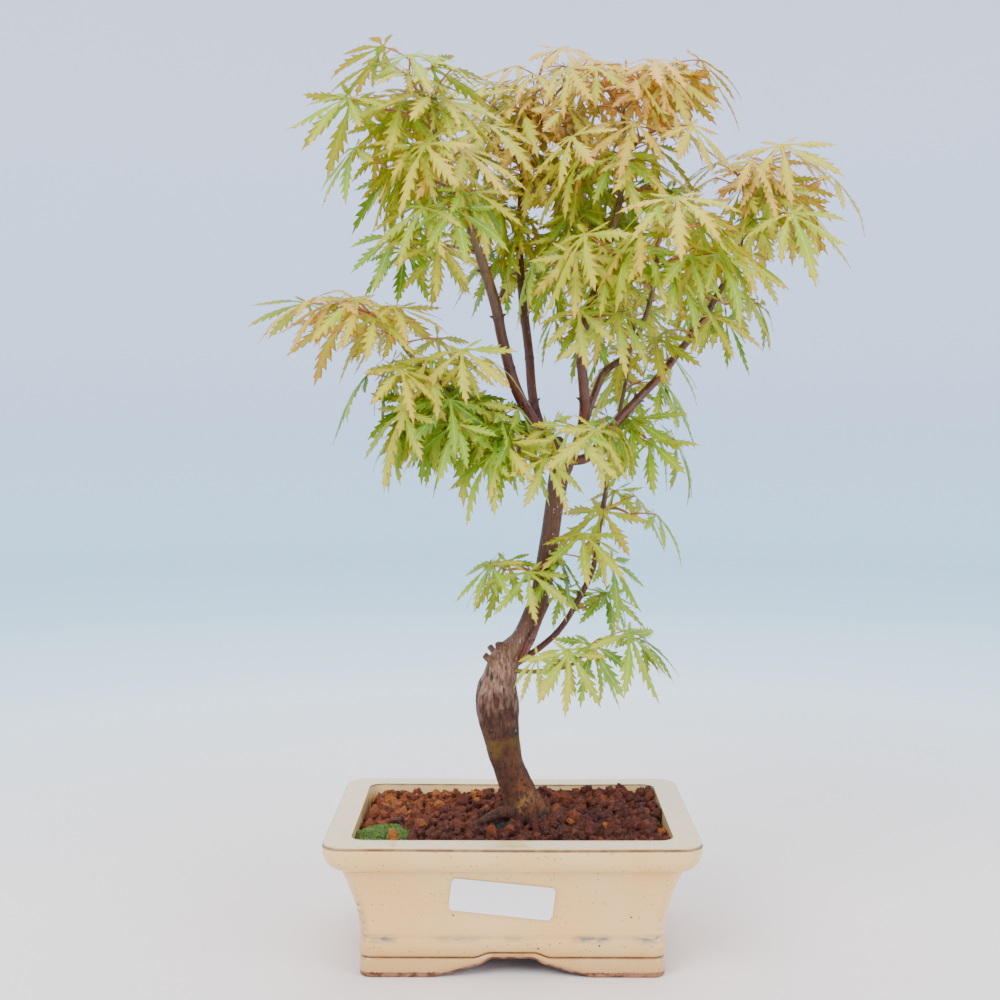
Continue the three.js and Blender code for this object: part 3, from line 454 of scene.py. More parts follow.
def sweep(path, radius, sides):
    """Rings round paths of shape (..., rows, 3). Each ring stands square to the path and starts
    from the axis along which the whole path runs least; radius has the shape (..., rows, sides) or
    (..., rows, 1)."""
    heading = unit(np.gradient(path, axis=-2))
    run = np.abs(path[..., -1, :] - path[..., 0, :])
    least = np.eye(3)[np.argmin(run, axis=-1)][..., None, :]
    first = unit(least - (least * heading).sum(axis=-1, keepdims=True) * heading)
    second = np.cross(heading, first)
    angle = np.arange(sides) * TAU / sides
    outward = (
        np.cos(angle)[:, None] * first[..., None, :] + np.sin(angle)[:, None] * second[..., None, :]
    )
    return path[..., None, :] + radius[..., None] * outward


def from_trunk_base(points):
    """Moves points from the trunk's foot on the soil to the pot's frame."""
    soil = (POT_HIGH.z - POT_LOW.z) / MM - bpy.context.scene.maple_soil.below_rim / MM
    return np.asarray(points, float) + np.array([TRUNK_X, TRUNK_Y, soil])


def between(ends, share):
    """One number for every share, or numbers from a first end to a second."""
    if np.isscalar(ends):
        return np.full(len(share), ends)
    return ends[0] + (ends[1] - ends[0]) * share


def rounded_outline(long_steps, short_steps, corner_steps):
    """Columns anticlockwise round a rounded rectangle, each as the place of its corner circle's
    middle (a share of the half length and half depth) and the way out from that middle."""
    right, top, left, bottom = (quarter * TAU / 4 for quarter in range(4))
    parts = []
    sides = [(right, 1, (-1, 1)), (top, (1, -1), 1), (left, -1, (1, -1)), (bottom, (-1, 1), -1)]
    for angle, across, along in sides:
        steps = short_steps if np.isscalar(across) else long_steps
        share = np.linspace(0, 1, steps, endpoint=False)
        x, y = between(across, share), between(along, share)
        parts.append(np.stack([x, y, np.full(steps, np.cos(angle)), np.full(steps, np.sin(angle))]))
        turn = angle + np.linspace(0, TAU / 4, corner_steps, endpoint=False)
        end_x, end_y = (between(ends, np.ones(corner_steps)) for ends in (across, along))
        parts.append(np.stack([end_x, end_y, np.cos(turn), np.sin(turn)]))
    return np.concatenate(parts, axis=1)


def outline_points(outline, half_x, half_y, radius, z):
    """Points of rounded rectangles, one row for each half length, half depth, corner radius and
    height: the corner circle's middle plus its radius along the way out."""
    share_x, share_y, out_x, out_y = outline
    x = share_x * (half_x - radius)[:, None] + radius[:, None] * out_x
    y = share_y * (half_y - radius)[:, None] + radius[:, None] * out_y
    return np.stack([x, y, np.broadcast_to(z, x.shape)], axis=-1)


# ---------- meshes and finishes ----------


def new_piece(name, points, faces, finish, replaced=(), marks=None, crease=50):
    """Makes a mesh object of points in millimetres in the pot's frame, with its finish,
    the solid pieces it stands for, and a number for each point under each mark's name."""
    mesh = bpy.data.meshes.new(name)
    placed = np.asarray(points, float) * MM + POT_PLACE
    mesh.vertices.add(len(placed))
    mesh.vertices.foreach_set("co", placed.astype(np.float32).ravel())
    corners = np.concatenate([part.ravel() for part in faces]).astype(np.int32)
    sizes = np.concatenate([np.full(len(part), part.shape[1]) for part in faces])
    mesh.loops.add(len(corners))
    mesh.loops.foreach_set("vertex_index", corners)
    mesh.polygons.add(len(sizes))
    mesh.polygons.foreach_set(
        "loop_start", np.concatenate([[0], np.cumsum(sizes)[:-1]]).astype(np.int32)
    )
    mesh.update(calc_edges=True)
    mesh.shade_smooth()
    mesh.set_sharp_from_angle(angle=math.radians(crease))
    for mark, values in (marks or {}).items():
        layer = mesh.attributes.new(mark, "FLOAT", "POINT")
        layer.data.foreach_set("value", np.asarray(values, np.float32).ravel())
    if mesh.validate():
        raise RuntimeError(f"the mesh of {name} had faulty faces")
    made = bpy.data.objects.new(name, mesh)
    bpy.context.scene.collection.objects.link(made)
    mesh.materials.append(finish)
    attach(made, "root")
    if replaced:
        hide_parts(*replaced)
    return made


def feed(tree, socket, value):
    """Joins a socket to an output, or sets its own value."""
    if isinstance(value, bpy.types.NodeSocket):
        tree.links.new(value, socket)
    elif hasattr(value, "__len__") and socket.type == "RGBA":
        socket.default_value = (*value[:3], 1.0)
    else:
        socket.default_value = value


def object_place(tree, stretch=(1, 1, 1)):
    """Object coordinates, stretched by a factor on each axis."""
    coordinates = tree.nodes.new("ShaderNodeTexCoord")
    mapping = tree.nodes.new("ShaderNodeMapping")
    mapping.inputs["Scale"].default_value = stretch
    tree.links.new(coordinates.outputs["Object"], mapping.inputs["Vector"])
    return mapping.outputs["Vector"]


def height_over_ground(tree):
    """The Z of object coordinates, in metres."""
    split = tree.nodes.new("ShaderNodeSeparateXYZ")
    tree.links.new(object_place(tree), split.inputs["Vector"])
    return split.outputs["Z"]


def mark_value(tree, name):
    """The number that a piece carries at each point under a name."""
    reader = tree.nodes.new("ShaderNodeAttribute")
    reader.attribute_name = name
    return reader.outputs["Fac"]


def calculate(tree, operation, first, second=0.0, third=0.0):
    """One sum, product or other step on numbers, held between 0 and 1."""
    step = tree.nodes.new("ShaderNodeMath")
    step.operation = operation
    step.use_clamp = True
    for socket, value in zip(step.inputs, (first, second, third)):
        feed(tree, socket, value)
    return step.outputs["Value"]


def product(tree, first, second):
    """Two masks multiplied."""
    return calculate(tree, "MULTIPLY", first, second)


def band(tree, value, low, high, bottom=0.0, top=1.0):
    """A value stretched smoothly from low..high to bottom..top."""
    stretch = tree.nodes.new("ShaderNodeMapRange")
    stretch.interpolation_type = "SMOOTHSTEP"
    for name, number in (
        ("Value", value), ("From Min", low), ("From Max", high), ("To Min", bottom), ("To Max", top)
    ):
        feed(tree, stretch.inputs[name], number)
    return stretch.outputs["Result"]


def mixed(tree, mask, under, over, share=1.0, mode="MIX"):
    """A share of the over colour laid on the under colour where the mask is 1."""
    if share != 1.0:
        mask = product(tree, mask, share)
    mix = tree.nodes.new("ShaderNodeMix")
    mix.data_type = "RGBA"
    mix.blend_type = mode
    feed(tree, mix.inputs[0], mask)
    feed(tree, mix.inputs[6], under)
    feed(tree, mix.inputs[7], over)
    return mix.outputs[2]


def ramp(tree, value, *stops):
    """Colours blended along a value, each stop a place and a colour."""
    band_node = tree.nodes.new("ShaderNodeValToRGB")
    elements = band_node.color_ramp.elements
    for index, (place, colour) in enumerate(stops):
        stop = elements[index] if index < 2 else elements.new(place)
        stop.position = place
        stop.color = (*colour[:3], 1.0)
    tree.links.new(value, band_node.inputs["Fac"])
    return band_node.outputs["Color"]


def new_group(name, inputs, outputs):
    """An empty node group with named number inputs and outputs, and its two end nodes."""
    group = bpy.data.node_groups.new(name, "ShaderNodeTree")
    for label, default in inputs:
        kind = "NodeSocketVector" if label == "Vector" else "NodeSocketFloat"
        socket = group.interface.new_socket(name=label, in_out="INPUT", socket_type=kind)
        if kind == "NodeSocketFloat":
            socket.default_value = default
    for label in outputs:
        group.interface.new_socket(name=label, in_out="OUTPUT", socket_type="NodeSocketFloat")
    return group, group.nodes.new("NodeGroupInput"), group.nodes.new("NodeGroupOutput")


def mottle_group():
    """Cloudy patches: fractal noise stretched between two levels to a mask."""
    if "Mottle" in bpy.data.node_groups:
        return bpy.data.node_groups["Mottle"]
    settings = [("Vector", None), ("Scale", 100.0), ("Detail", 4.0), ("Low", 0.4), ("High", 0.6)]
    group, start, end = new_group("Mottle", settings, ["Mask"])
    noise = group.nodes.new("ShaderNodeTexNoise")
    for name in ("Vector", "Scale", "Detail"):
        group.links.new(start.outputs[name], noise.inputs[name])
    mask = band(group, noise.outputs["Fac"], start.outputs["Low"], start.outputs["High"])
    group.links.new(mask, end.inputs["Mask"])
    return group


def specks_group():
    """Scattered specks: cells whose middle is near, kept only where a coarser noise is high."""
    if "Specks" in bpy.data.node_groups:
        return bpy.data.node_groups["Specks"]
    settings = [("Vector", None), ("Scale", 300.0), ("Size", 0.2), ("Share", 0.5)]
    group, start, end = new_group("Specks", settings, ["Mask"])
    cells = group.nodes.new("ShaderNodeTexVoronoi")
    group.links.new(start.outputs["Vector"], cells.inputs["Vector"])
    group.links.new(start.outputs["Scale"], cells.inputs["Scale"])
    tone = group.nodes.new("ShaderNodeSeparateColor")
    group.links.new(cells.outputs["Color"], tone.inputs["Color"])
    size = product(group, tone.outputs["Green"], start.outputs["Size"])
    near = calculate(group, "LESS_THAN", cells.outputs["Distance"], size)
    kept = calculate(group, "LESS_THAN", tone.outputs["Red"], start.outputs["Share"])
    group.links.new(product(group, near, kept), end.inputs["Mask"])
    return group


def placed_group(tree, group, place, **settings):
    """A node group's mask, read at a place with its own settings."""
    made = tree.nodes.new("ShaderNodeGroup")
    made.node_tree = group
    tree.links.new(place, made.inputs["Vector"])
    for name, value in settings.items():
        feed(tree, made.inputs[name], value)
    return made.outputs["Mask"]


def mottle(tree, place, scale, low=0.4, high=0.6, detail=4.0):
    """Cloudy patches of a size of one over scale."""
    return placed_group(tree, mottle_group(), place, Scale=scale, Detail=detail, Low=low, High=high)


def specks(tree, place, scale, size, share):
    """Scattered specks of up to a size, in cells of one over scale."""
    return placed_group(tree, specks_group(), place, Scale=scale, Size=size, Share=share)


def bumped(tree, height, distance):
    """A normal that follows a height mask, its full height being a distance in millimetres."""
    bump = tree.nodes.new("ShaderNodeBump")
    bump.inputs["Distance"].default_value = distance * MM
    bump.inputs["Strength"].default_value = 1.0
    tree.links.new(height, bump.inputs["Height"])
    return bump.outputs["Normal"]


def new_finish(name):
    """An empty node material with its shader and output."""
    finish = bpy.data.materials.new(name)
    finish.use_nodes = True
    tree = finish.node_tree
    return finish, tree, tree.nodes["Principled BSDF"]


def dress(tree, shader, tone, rough, height, depth):
    """Joins a shader to its colour, its roughness, and a relief as deep as given in millimetres."""
    feed(tree, shader.inputs["Base Color"], tone)
    feed(tree, shader.inputs["Roughness"], rough)
    feed(tree, shader.inputs["Normal"], bumped(tree, height, depth))


def glaze_finish(pot):
    """Cream stoneware glaze: paler on the rim, brown where thin, blue-grey where pooled, fine
    specks, satin gloss, painted shade that darkens it towards the ground, and bare clay on the
    foot's edge and under the pot."""
    finish, tree, shader = new_finish("Cream glaze")
    place = object_place(tree)
    cloud = mottle(tree, place, 28.0, 0.35, 0.7)
    fine_cloud = mottle(tree, place, 900.0, 0.3, 0.7, 2.0)
    tone = mixed(tree, cloud, pot.glaze, pot.glaze_light, 0.35)
    tone = mixed(tree, mark_value(tree, "rim"), tone, pot.glaze_light, 0.9)
    tone = mixed(tree, fine_cloud, tone, linear(0.70, 0.60, 0.46), 0.10)
    streaky = mottle(tree, object_place(tree, (0.4, 0.4, 1.3)), 420.0, 0.3, 0.6)
    pooled = product(tree, mark_value(tree, "pooled"), streaky)
    patches = mottle(tree, object_place(tree, (1, 1, 0.2)), 38.0, 0.42, 0.58, 2.0)
    pooled = product(tree, pooled, patches)
    tone = mixed(tree, pooled, tone, pot.glaze_blue)
    # Painted shade: the glaze is mixed towards a darker brown over the lowest 30 mm above the
    # ground.
    painted_shade_low = product(tree, band(tree, height_over_ground(tree), 0.03, 0.0), 0.55)
    tone = mixed(tree, painted_shade_low, tone, linear(0.60, 0.45, 0.27))
    worn = band(tree, mottle(tree, place, 150.0, 0.3, 0.66), 0.0, 1.0, 0.8, 1.0)
    thin = product(tree, mark_value(tree, "thin"), worn)
    tone = mixed(tree, thin, tone, pot.glaze_break)
    small = specks(tree, place, 620.0, 0.3, 0.36)
    large = specks(tree, place, 170.0, 0.1, 0.45)
    tone = mixed(tree, small, tone, linear(0.52, 0.39, 0.27), 0.75)
    tone = mixed(tree, large, tone, linear(0.25, 0.18, 0.13))
    bare = calculate(tree, "ADD", mark_value(tree, "bare"), product(tree, fine_cloud, 0.2))
    bare = band(tree, bare, 0.5, 0.72)
    clay = mixed(tree, mottle(tree, place, 240.0), pot.clay, linear(0.55, 0.38, 0.27))
    satin = band(tree, cloud, 0.0, 1.0, 0.24, 0.34)
    rough = calculate(tree, "ADD", product(tree, bare, 0.5), satin)
    feed(tree, shader.inputs["Coat Weight"], band(tree, bare, 0.0, 1.0, 0.35, 0.0))
    shader.inputs["Coat Roughness"].default_value = 0.12
    height = calculate(
        tree, "MULTIPLY_ADD", mottle(tree, place, 60.0, 0.2, 0.8), 0.8, product(tree, large, 0.15)
    )
    dress(tree, shader, mixed(tree, bare, tone, clay), rough, height, 0.25)
    return finish


def label_finish():
    """White sticker paper: faint warm fibres and a slight sheen."""
    finish, tree, shader = new_finish("Sticker paper")
    place = object_place(tree)
    fibres = mottle(tree, object_place(tree, (1, 1, 3)), 2600.0, 0.3, 0.7, 3.0)
    tone = mixed(tree, fibres, linear(0.93, 0.905, 0.90), linear(0.955, 0.935, 0.93))
    scuffs = product(tree, mottle(tree, place, 90.0, 0.55, 0.8), 0.4)
    dress(
        tree, shader, mixed(tree, scuffs, tone, linear(0.87, 0.84, 0.82)),
        band(tree, fibres, 0.0, 1.0, 0.42, 0.52), fibres, 0.02
    )
    return finish


def peat_finish(soil):
    """Black peaty soil: dark crumbs, brown flecks of bark and fine pale root hairs."""
    finish, tree, shader = new_finish("Peaty soil")
    place = object_place(tree)
    crumbs = mottle(tree, place, 420.0, 0.35, 0.65, 6.0)
    tone = mixed(tree, crumbs, linear(0.045, 0.035, 0.03), soil.peat)
    tone = mixed(tree, specks(tree, place, 330.0, 0.3, 0.3), tone, linear(0.28, 0.18, 0.11))
    hairs = specks(tree, object_place(tree, (1, 0.12, 1)), 700.0, 0.16, 0.12)
    dress(
        tree, shader, mixed(tree, hairs, tone, linear(0.45, 0.36, 0.26)),
        band(tree, crumbs, 0.0, 1.0, 0.95, 0.8), crumbs, 1.2
    )
    return finish


def granule_finish(soil):
    """Fired clay granules: one tone each from dark red-brown to ochre, dusty on top, pitted all
    over."""
    finish, tree, shader = new_finish("Clay granules")
    place = object_place(tree)
    tone = ramp(
        tree, mark_value(tree, "tone"), (0.0, soil.dark), (0.5, soil.middle),
        (0.8, linear(0.56, 0.28, 0.08)), (1.0, soil.light),
    )
    grain = mottle(tree, place, 1100.0, 0.3, 0.7, 5.0)
    tone = mixed(tree, grain, tone, linear(0.17, 0.055, 0.005), 0.42)
    dust = product(tree, mottle(tree, place, 260.0, 0.5, 0.75), 0.35)
    tone = mixed(tree, dust, tone, linear(0.58, 0.36, 0.21))
    dress(tree, shader, tone, band(tree, grain, 0.0, 1.0, 0.82, 0.96), grain, 0.9)
    return finish


def moss_finish(name, deep, fresh):
    """Moss: dark between the filaments and fresh at their tips, each filament a little
    different."""
    finish, tree, shader = new_finish(name)
    place = object_place(tree)
    tone = mixed(tree, mark_value(tree, "tip"), deep, fresh)
    patches = mottle(tree, place, 260.0, 0.4, 0.7)
    tone = mixed(tree, patches, tone, linear(0.70, 0.72, 0.30), 0.5, mode="MULTIPLY")
    shader.inputs["Sheen Weight"].default_value = 0.25
    rough = band(tree, patches, 0.0, 1.0, 0.55, 0.75)
    dress(tree, shader, tone, rough, mottle(tree, place, 1800.0), 0.2)
    return finish


def bark_finish(tree_settings, soil_level):
    """Bark of the grafted trunk by height: orange-brown with black flecks at the foot, an olive
    band, grey-pink peeling over dark fissures at the graft, then smooth red-brown with pale
    pores."""
    finish, tree, shader = new_finish("Trunk bark")
    place = object_place(tree)
    tall = object_place(tree, (1, 1, 0.28))
    height = height_over_ground(tree)
    scion = mark_value(tree, "scion")
    wander = band(tree, mottle(tree, place, 120.0, 0.2, 0.8), 0.0, 1.0, -0.006, 0.006)
    reading = tree.nodes.new("ShaderNodeMath")
    reading.operation = "ADD"
    tree.links.new(height, reading.inputs[0])
    tree.links.new(wander, reading.inputs[1])
    level = reading.outputs["Value"]

    def at(millimetres):
        """Height over the ground, in metres, of a height over the soil."""
        return (soil_level + millimetres) * MM

    grain = mottle(tree, tall, 900.0, 0.35, 0.65, 5.0)
    rough_tone = mixed(
        tree, mottle(tree, tall, 260.0, 0.35, 0.68), tree_settings.old_bark,
        linear(0.29, 0.14, 0.035)
    )
    rough_tone = mixed(tree, mottle(tree, place, 70.0, 0.5, 0.7), rough_tone,
                       linear(0.54, 0.38, 0.19), 0.6)
    flecks = specks(tree, object_place(tree, (1, 1, 0.7)), 760.0, 0.62, 0.7)
    rough_tone = mixed(tree, flecks, rough_tone, linear(0.10, 0.06, 0.04), 0.85)
    dark_patch = mottle(tree, object_place(tree, (1, 1, 0.6)), 160.0, 0.56, 0.66)
    rough_tone = mixed(tree, dark_patch, rough_tone, linear(0.16, 0.09, 0.06), 0.6)
    olive_band = product(
        tree, band(tree, level, at(33), at(38)), mottle(tree, place, 170.0, 0.3, 0.6)
    )
    shaded = product(tree, band(tree, level, at(14), at(26)), mottle(tree, tall, 120.0, 0.25, 0.6))
    rough_tone = mixed(tree, shaded, rough_tone, linear(0.26, 0.125, 0.045), 0.6)
    rough_tone = mixed(tree, olive_band, rough_tone, tree_settings.olive, 0.5)
    dark_tone = mixed(tree, grain, linear(0.20, 0.085, 0.04), linear(0.33, 0.17, 0.08))
    dots = specks(tree, object_place(tree, (1, 1, 0.5)), 420.0, 0.28, 0.3)
    dark_tone = mixed(tree, dots, dark_tone, linear(0.66, 0.56, 0.47), 0.8)
    rough_tone = mixed(tree, band(tree, level, at(40), at(47)), rough_tone, dark_tone)
    peel = mixed(tree, grain, linear(0.40, 0.265, 0.20), tree_settings.peeling)
    peel = mixed(tree, mottle(tree, tall, 520.0, 0.5, 0.66), peel, linear(0.66, 0.54, 0.46), 0.5)
    fissures = mottle(tree, object_place(tree, (1, 1, 0.22)), 520.0, 0.55, 0.64, 4.0)
    upper = band(tree, level, at(92), at(74), 0.25, 1.0)
    peel = mixed(tree, product(tree, fissures, upper), peel, linear(0.17, 0.085, 0.06))
    streaks = mottle(tree, object_place(tree, (1, 1, 0.22)), 190.0, 0.42, 0.58, 6.0)
    high = product(tree, band(tree, level, at(46), at(62)), streaks)
    shed = calculate(tree, "MAXIMUM", high, band(tree, level, at(60), at(72)))
    rootstock_tone = mixed(tree, shed, rough_tone, peel)

    smooth_tone = mixed(tree, grain, tree_settings.scion, linear(0.30, 0.16, 0.07))
    side = product(tree, mark_value(tree, "sunny"), mottle(tree, tall, 90.0, 0.25, 0.6))
    smooth_tone = mixed(tree, side, smooth_tone, tree_settings.olive)
    high = band(tree, level, at(120), at(180))
    smooth_tone = mixed(tree, high, smooth_tone, linear(0.36, 0.21, 0.12), 0.55)
    pores = specks(tree, object_place(tree, (1, 1, 0.6)), 520.0, 0.34, 0.4)
    smooth_tone = mixed(tree, pores, smooth_tone, linear(0.80, 0.73, 0.64), 0.9)
    foot = band(tree, level, at(108), at(92))
    smooth_tone = mixed(
        tree, product(tree, foot, product(tree, grain, 0.8)), smooth_tone, linear(0.50, 0.38, 0.30)
    )

    tone = mixed(tree, scion, rootstock_tone, smooth_tone)
    tone = mixed(tree, mark_value(tree, "cut"), tone, linear(0.33, 0.19, 0.10))
    # Darker towards the soil line: the bark is mixed towards dark brown over the lowest 9 mm.
    darker_at_soil = band(tree, level, at(9), at(-1))
    tone = mixed(tree, darker_at_soil, tone, linear(0.14, 0.07, 0.04), 0.6)
    cracked = product(
        tree, calculate(tree, "ADD", fissures, flecks), calculate(tree, "SUBTRACT", 1.0, scion)
    )
    relief = calculate(
        tree, "SUBTRACT", calculate(tree, "MULTIPLY_ADD", grain, 0.35, 0.5),
        product(tree, cracked, 0.45)
    )
    dress(tree, shader, tone, band(tree, scion, 0.0, 1.0, 0.85, 0.55), relief, 1.7)
    return finish


def branch_finish(settings):
    """Smooth branch bark: red-brown on old wood, olive green on new, dark at each ring, pale
    pores."""
    finish, tree, shader = new_finish("Branch bark")
    place = object_place(tree)
    streaks = mottle(tree, object_place(tree, (1, 1, 0.2)), 520.0, 0.35, 0.65)
    old = mixed(tree, streaks, settings.branch, linear(0.38, 0.155, 0.09))
    green = product(tree, mark_value(tree, "youth"), band(tree, streaks, 0.0, 1.0, 0.7, 1.0))
    tone = mixed(tree, green, old, settings.shoot)
    tone = mixed(tree, mark_value(tree, "ring"), tone, linear(0.14, 0.06, 0.04), 0.5)
    pores = specks(tree, place, 620.0, 0.26, 0.16)
    tone = mixed(tree, pores, tone, linear(0.62, 0.45, 0.34), 0.6)
    dress(tree, shader, tone, band(tree, streaks, 0.0, 1.0, 0.38, 0.52), streaks, 0.2)
    return finish


def stalk_finish(settings):
    """Thin twigs and leaf stalks: olive green turning orange-red towards the leaf."""
    finish, tree, shader = new_finish("Twigs and stalks")
    place = object_place(tree)
    tone = mixed(tree, mark_value(tree, "blush"), settings.shoot, settings.stalk_red)
    streaks = mottle(tree, place, 700.0, 0.4, 0.7)
    tone = mixed(tree, streaks, tone, linear(0.62, 0.30, 0.20), 0.4)
    dress(tree, shader, tone, band(tree, streaks, 0.0, 1.0, 0.40, 0.5), streaks, 0.1)
    return finish


def leaf_finish(settings):
    """Thin maple leaf: deep green to peach by age and by painted light, darker for shaded leaves
    and yellower for sunlit ones, pale along the ribs, red-brown along the margin, and letting some
    light through."""
    finish, tree, shader = new_finish("Maple leaf")
    place = object_place(tree)
    # The tint mark read here is partly leaf age and partly painted light: deep green for shaded
    # leaves, yellow for sunlit ones.
    age_and_light = calculate(
        tree, "MULTIPLY_ADD", mottle(tree, place, 60.0, 0.3, 0.7), 0.14, mark_value(tree, "age_and_light")
    )
    tone = ramp(
        tree, age_and_light, (0.0, settings.leaf_deep), (0.3, settings.leaf_green),
        (0.62, settings.leaf_yellow),
        (1.0, settings.leaf_peach),
    )
    across = mark_value(tree, "margin")
    side_veins = mottle(tree, place, 1500.0, 0.4, 0.7, 2.0)
    tone = mixed(tree, side_veins, tone, settings.leaf_deep, 0.22)
    edge = product(tree, band(tree, across, 0.55, 1.0), mottle(tree, place, 300.0, 0.3, 0.62))
    blush = product(tree, edge, band(tree, age_and_light, 0.12, 0.75, 0.12, 0.9))
    tone = mixed(tree, blush, tone, settings.leaf_margin)
    rib = band(tree, across, 0.2, 0.0)
    tone = mixed(tree, rib, tone, linear(0.90, 0.90, 0.52), 0.5)
    height = calculate(
        tree, "MULTIPLY_ADD", side_veins, 0.4,
        calculate(tree, "SUBTRACT", 0.6, product(tree, rib, 0.6))
    )
    dress(tree, shader, tone, band(tree, side_veins, 0.0, 1.0, 0.42, 0.55), height, 0.12)
    through = tree.nodes.new("ShaderNodeBsdfTranslucent")
    feed(tree, through.inputs["Color"], tone)
    both = tree.nodes.new("ShaderNodeMixShader")
    both.inputs["Fac"].default_value = 0.42
    tree.links.new(shader.outputs["BSDF"], both.inputs[1])
    tree.links.new(through.outputs["BSDF"], both.inputs[2])
    tree.links.new(both.outputs["Shader"], tree.nodes["Material Output"].inputs["Surface"])
    return finish


def plain_part_finish(name, tint, worn_tint, rough, metal=0.0):
    """Moulded plastic or drawn wire: slight wear, fine scratches and soil dust."""
    finish, tree, shader = new_finish(name)
    place = object_place(tree)
    worn = mottle(tree, place, 500.0, 0.45, 0.65)
    dust = product(tree, mottle(tree, place, 150.0, 0.5, 0.7), 0.5)
    tone = mixed(tree, worn, tint, worn_tint)
    shader.inputs["Metallic"].default_value = metal
    dress(
        tree, shader, mixed(tree, dust, tone, linear(0.32, 0.22, 0.15)),
        band(tree, worn, 0.0, 1.0, rough, rough + 0.2), worn, 0.05
    )
    return finish


# ---------- pot ----------


def arch_height(distance, length, height):
    """Height of the foot's arch at a distance from its middle: a ramp over the outer 27 % on each
    side up to six tenths, then a smooth step up to a flat crown."""
    ramp_share = np.clip((0.5 * length - distance) / (0.27 * length), 0, 1) ** 1.2
    return height * (0.6 * ramp_share + 0.4 * ease(distance, 0.23 * length, 0.11 * length))


def wall_inset(pot, z):
    """How far the wall stands in from the widest outline: the foot's inset less a share of the cove
    that grows with the power 1.7 of the height over the waist."""
    waist = (pot.foot + pot.bead) / MM + 3
    bulge_z = (pot.height - pot.bulge) / MM - 2
    share = np.clip((np.asarray(z, float) - waist) / (bulge_z - waist), 0, 1)
    return pot.foot_inset / MM - (pot.foot_inset - pot.bulge_depth) / MM * share**1.7


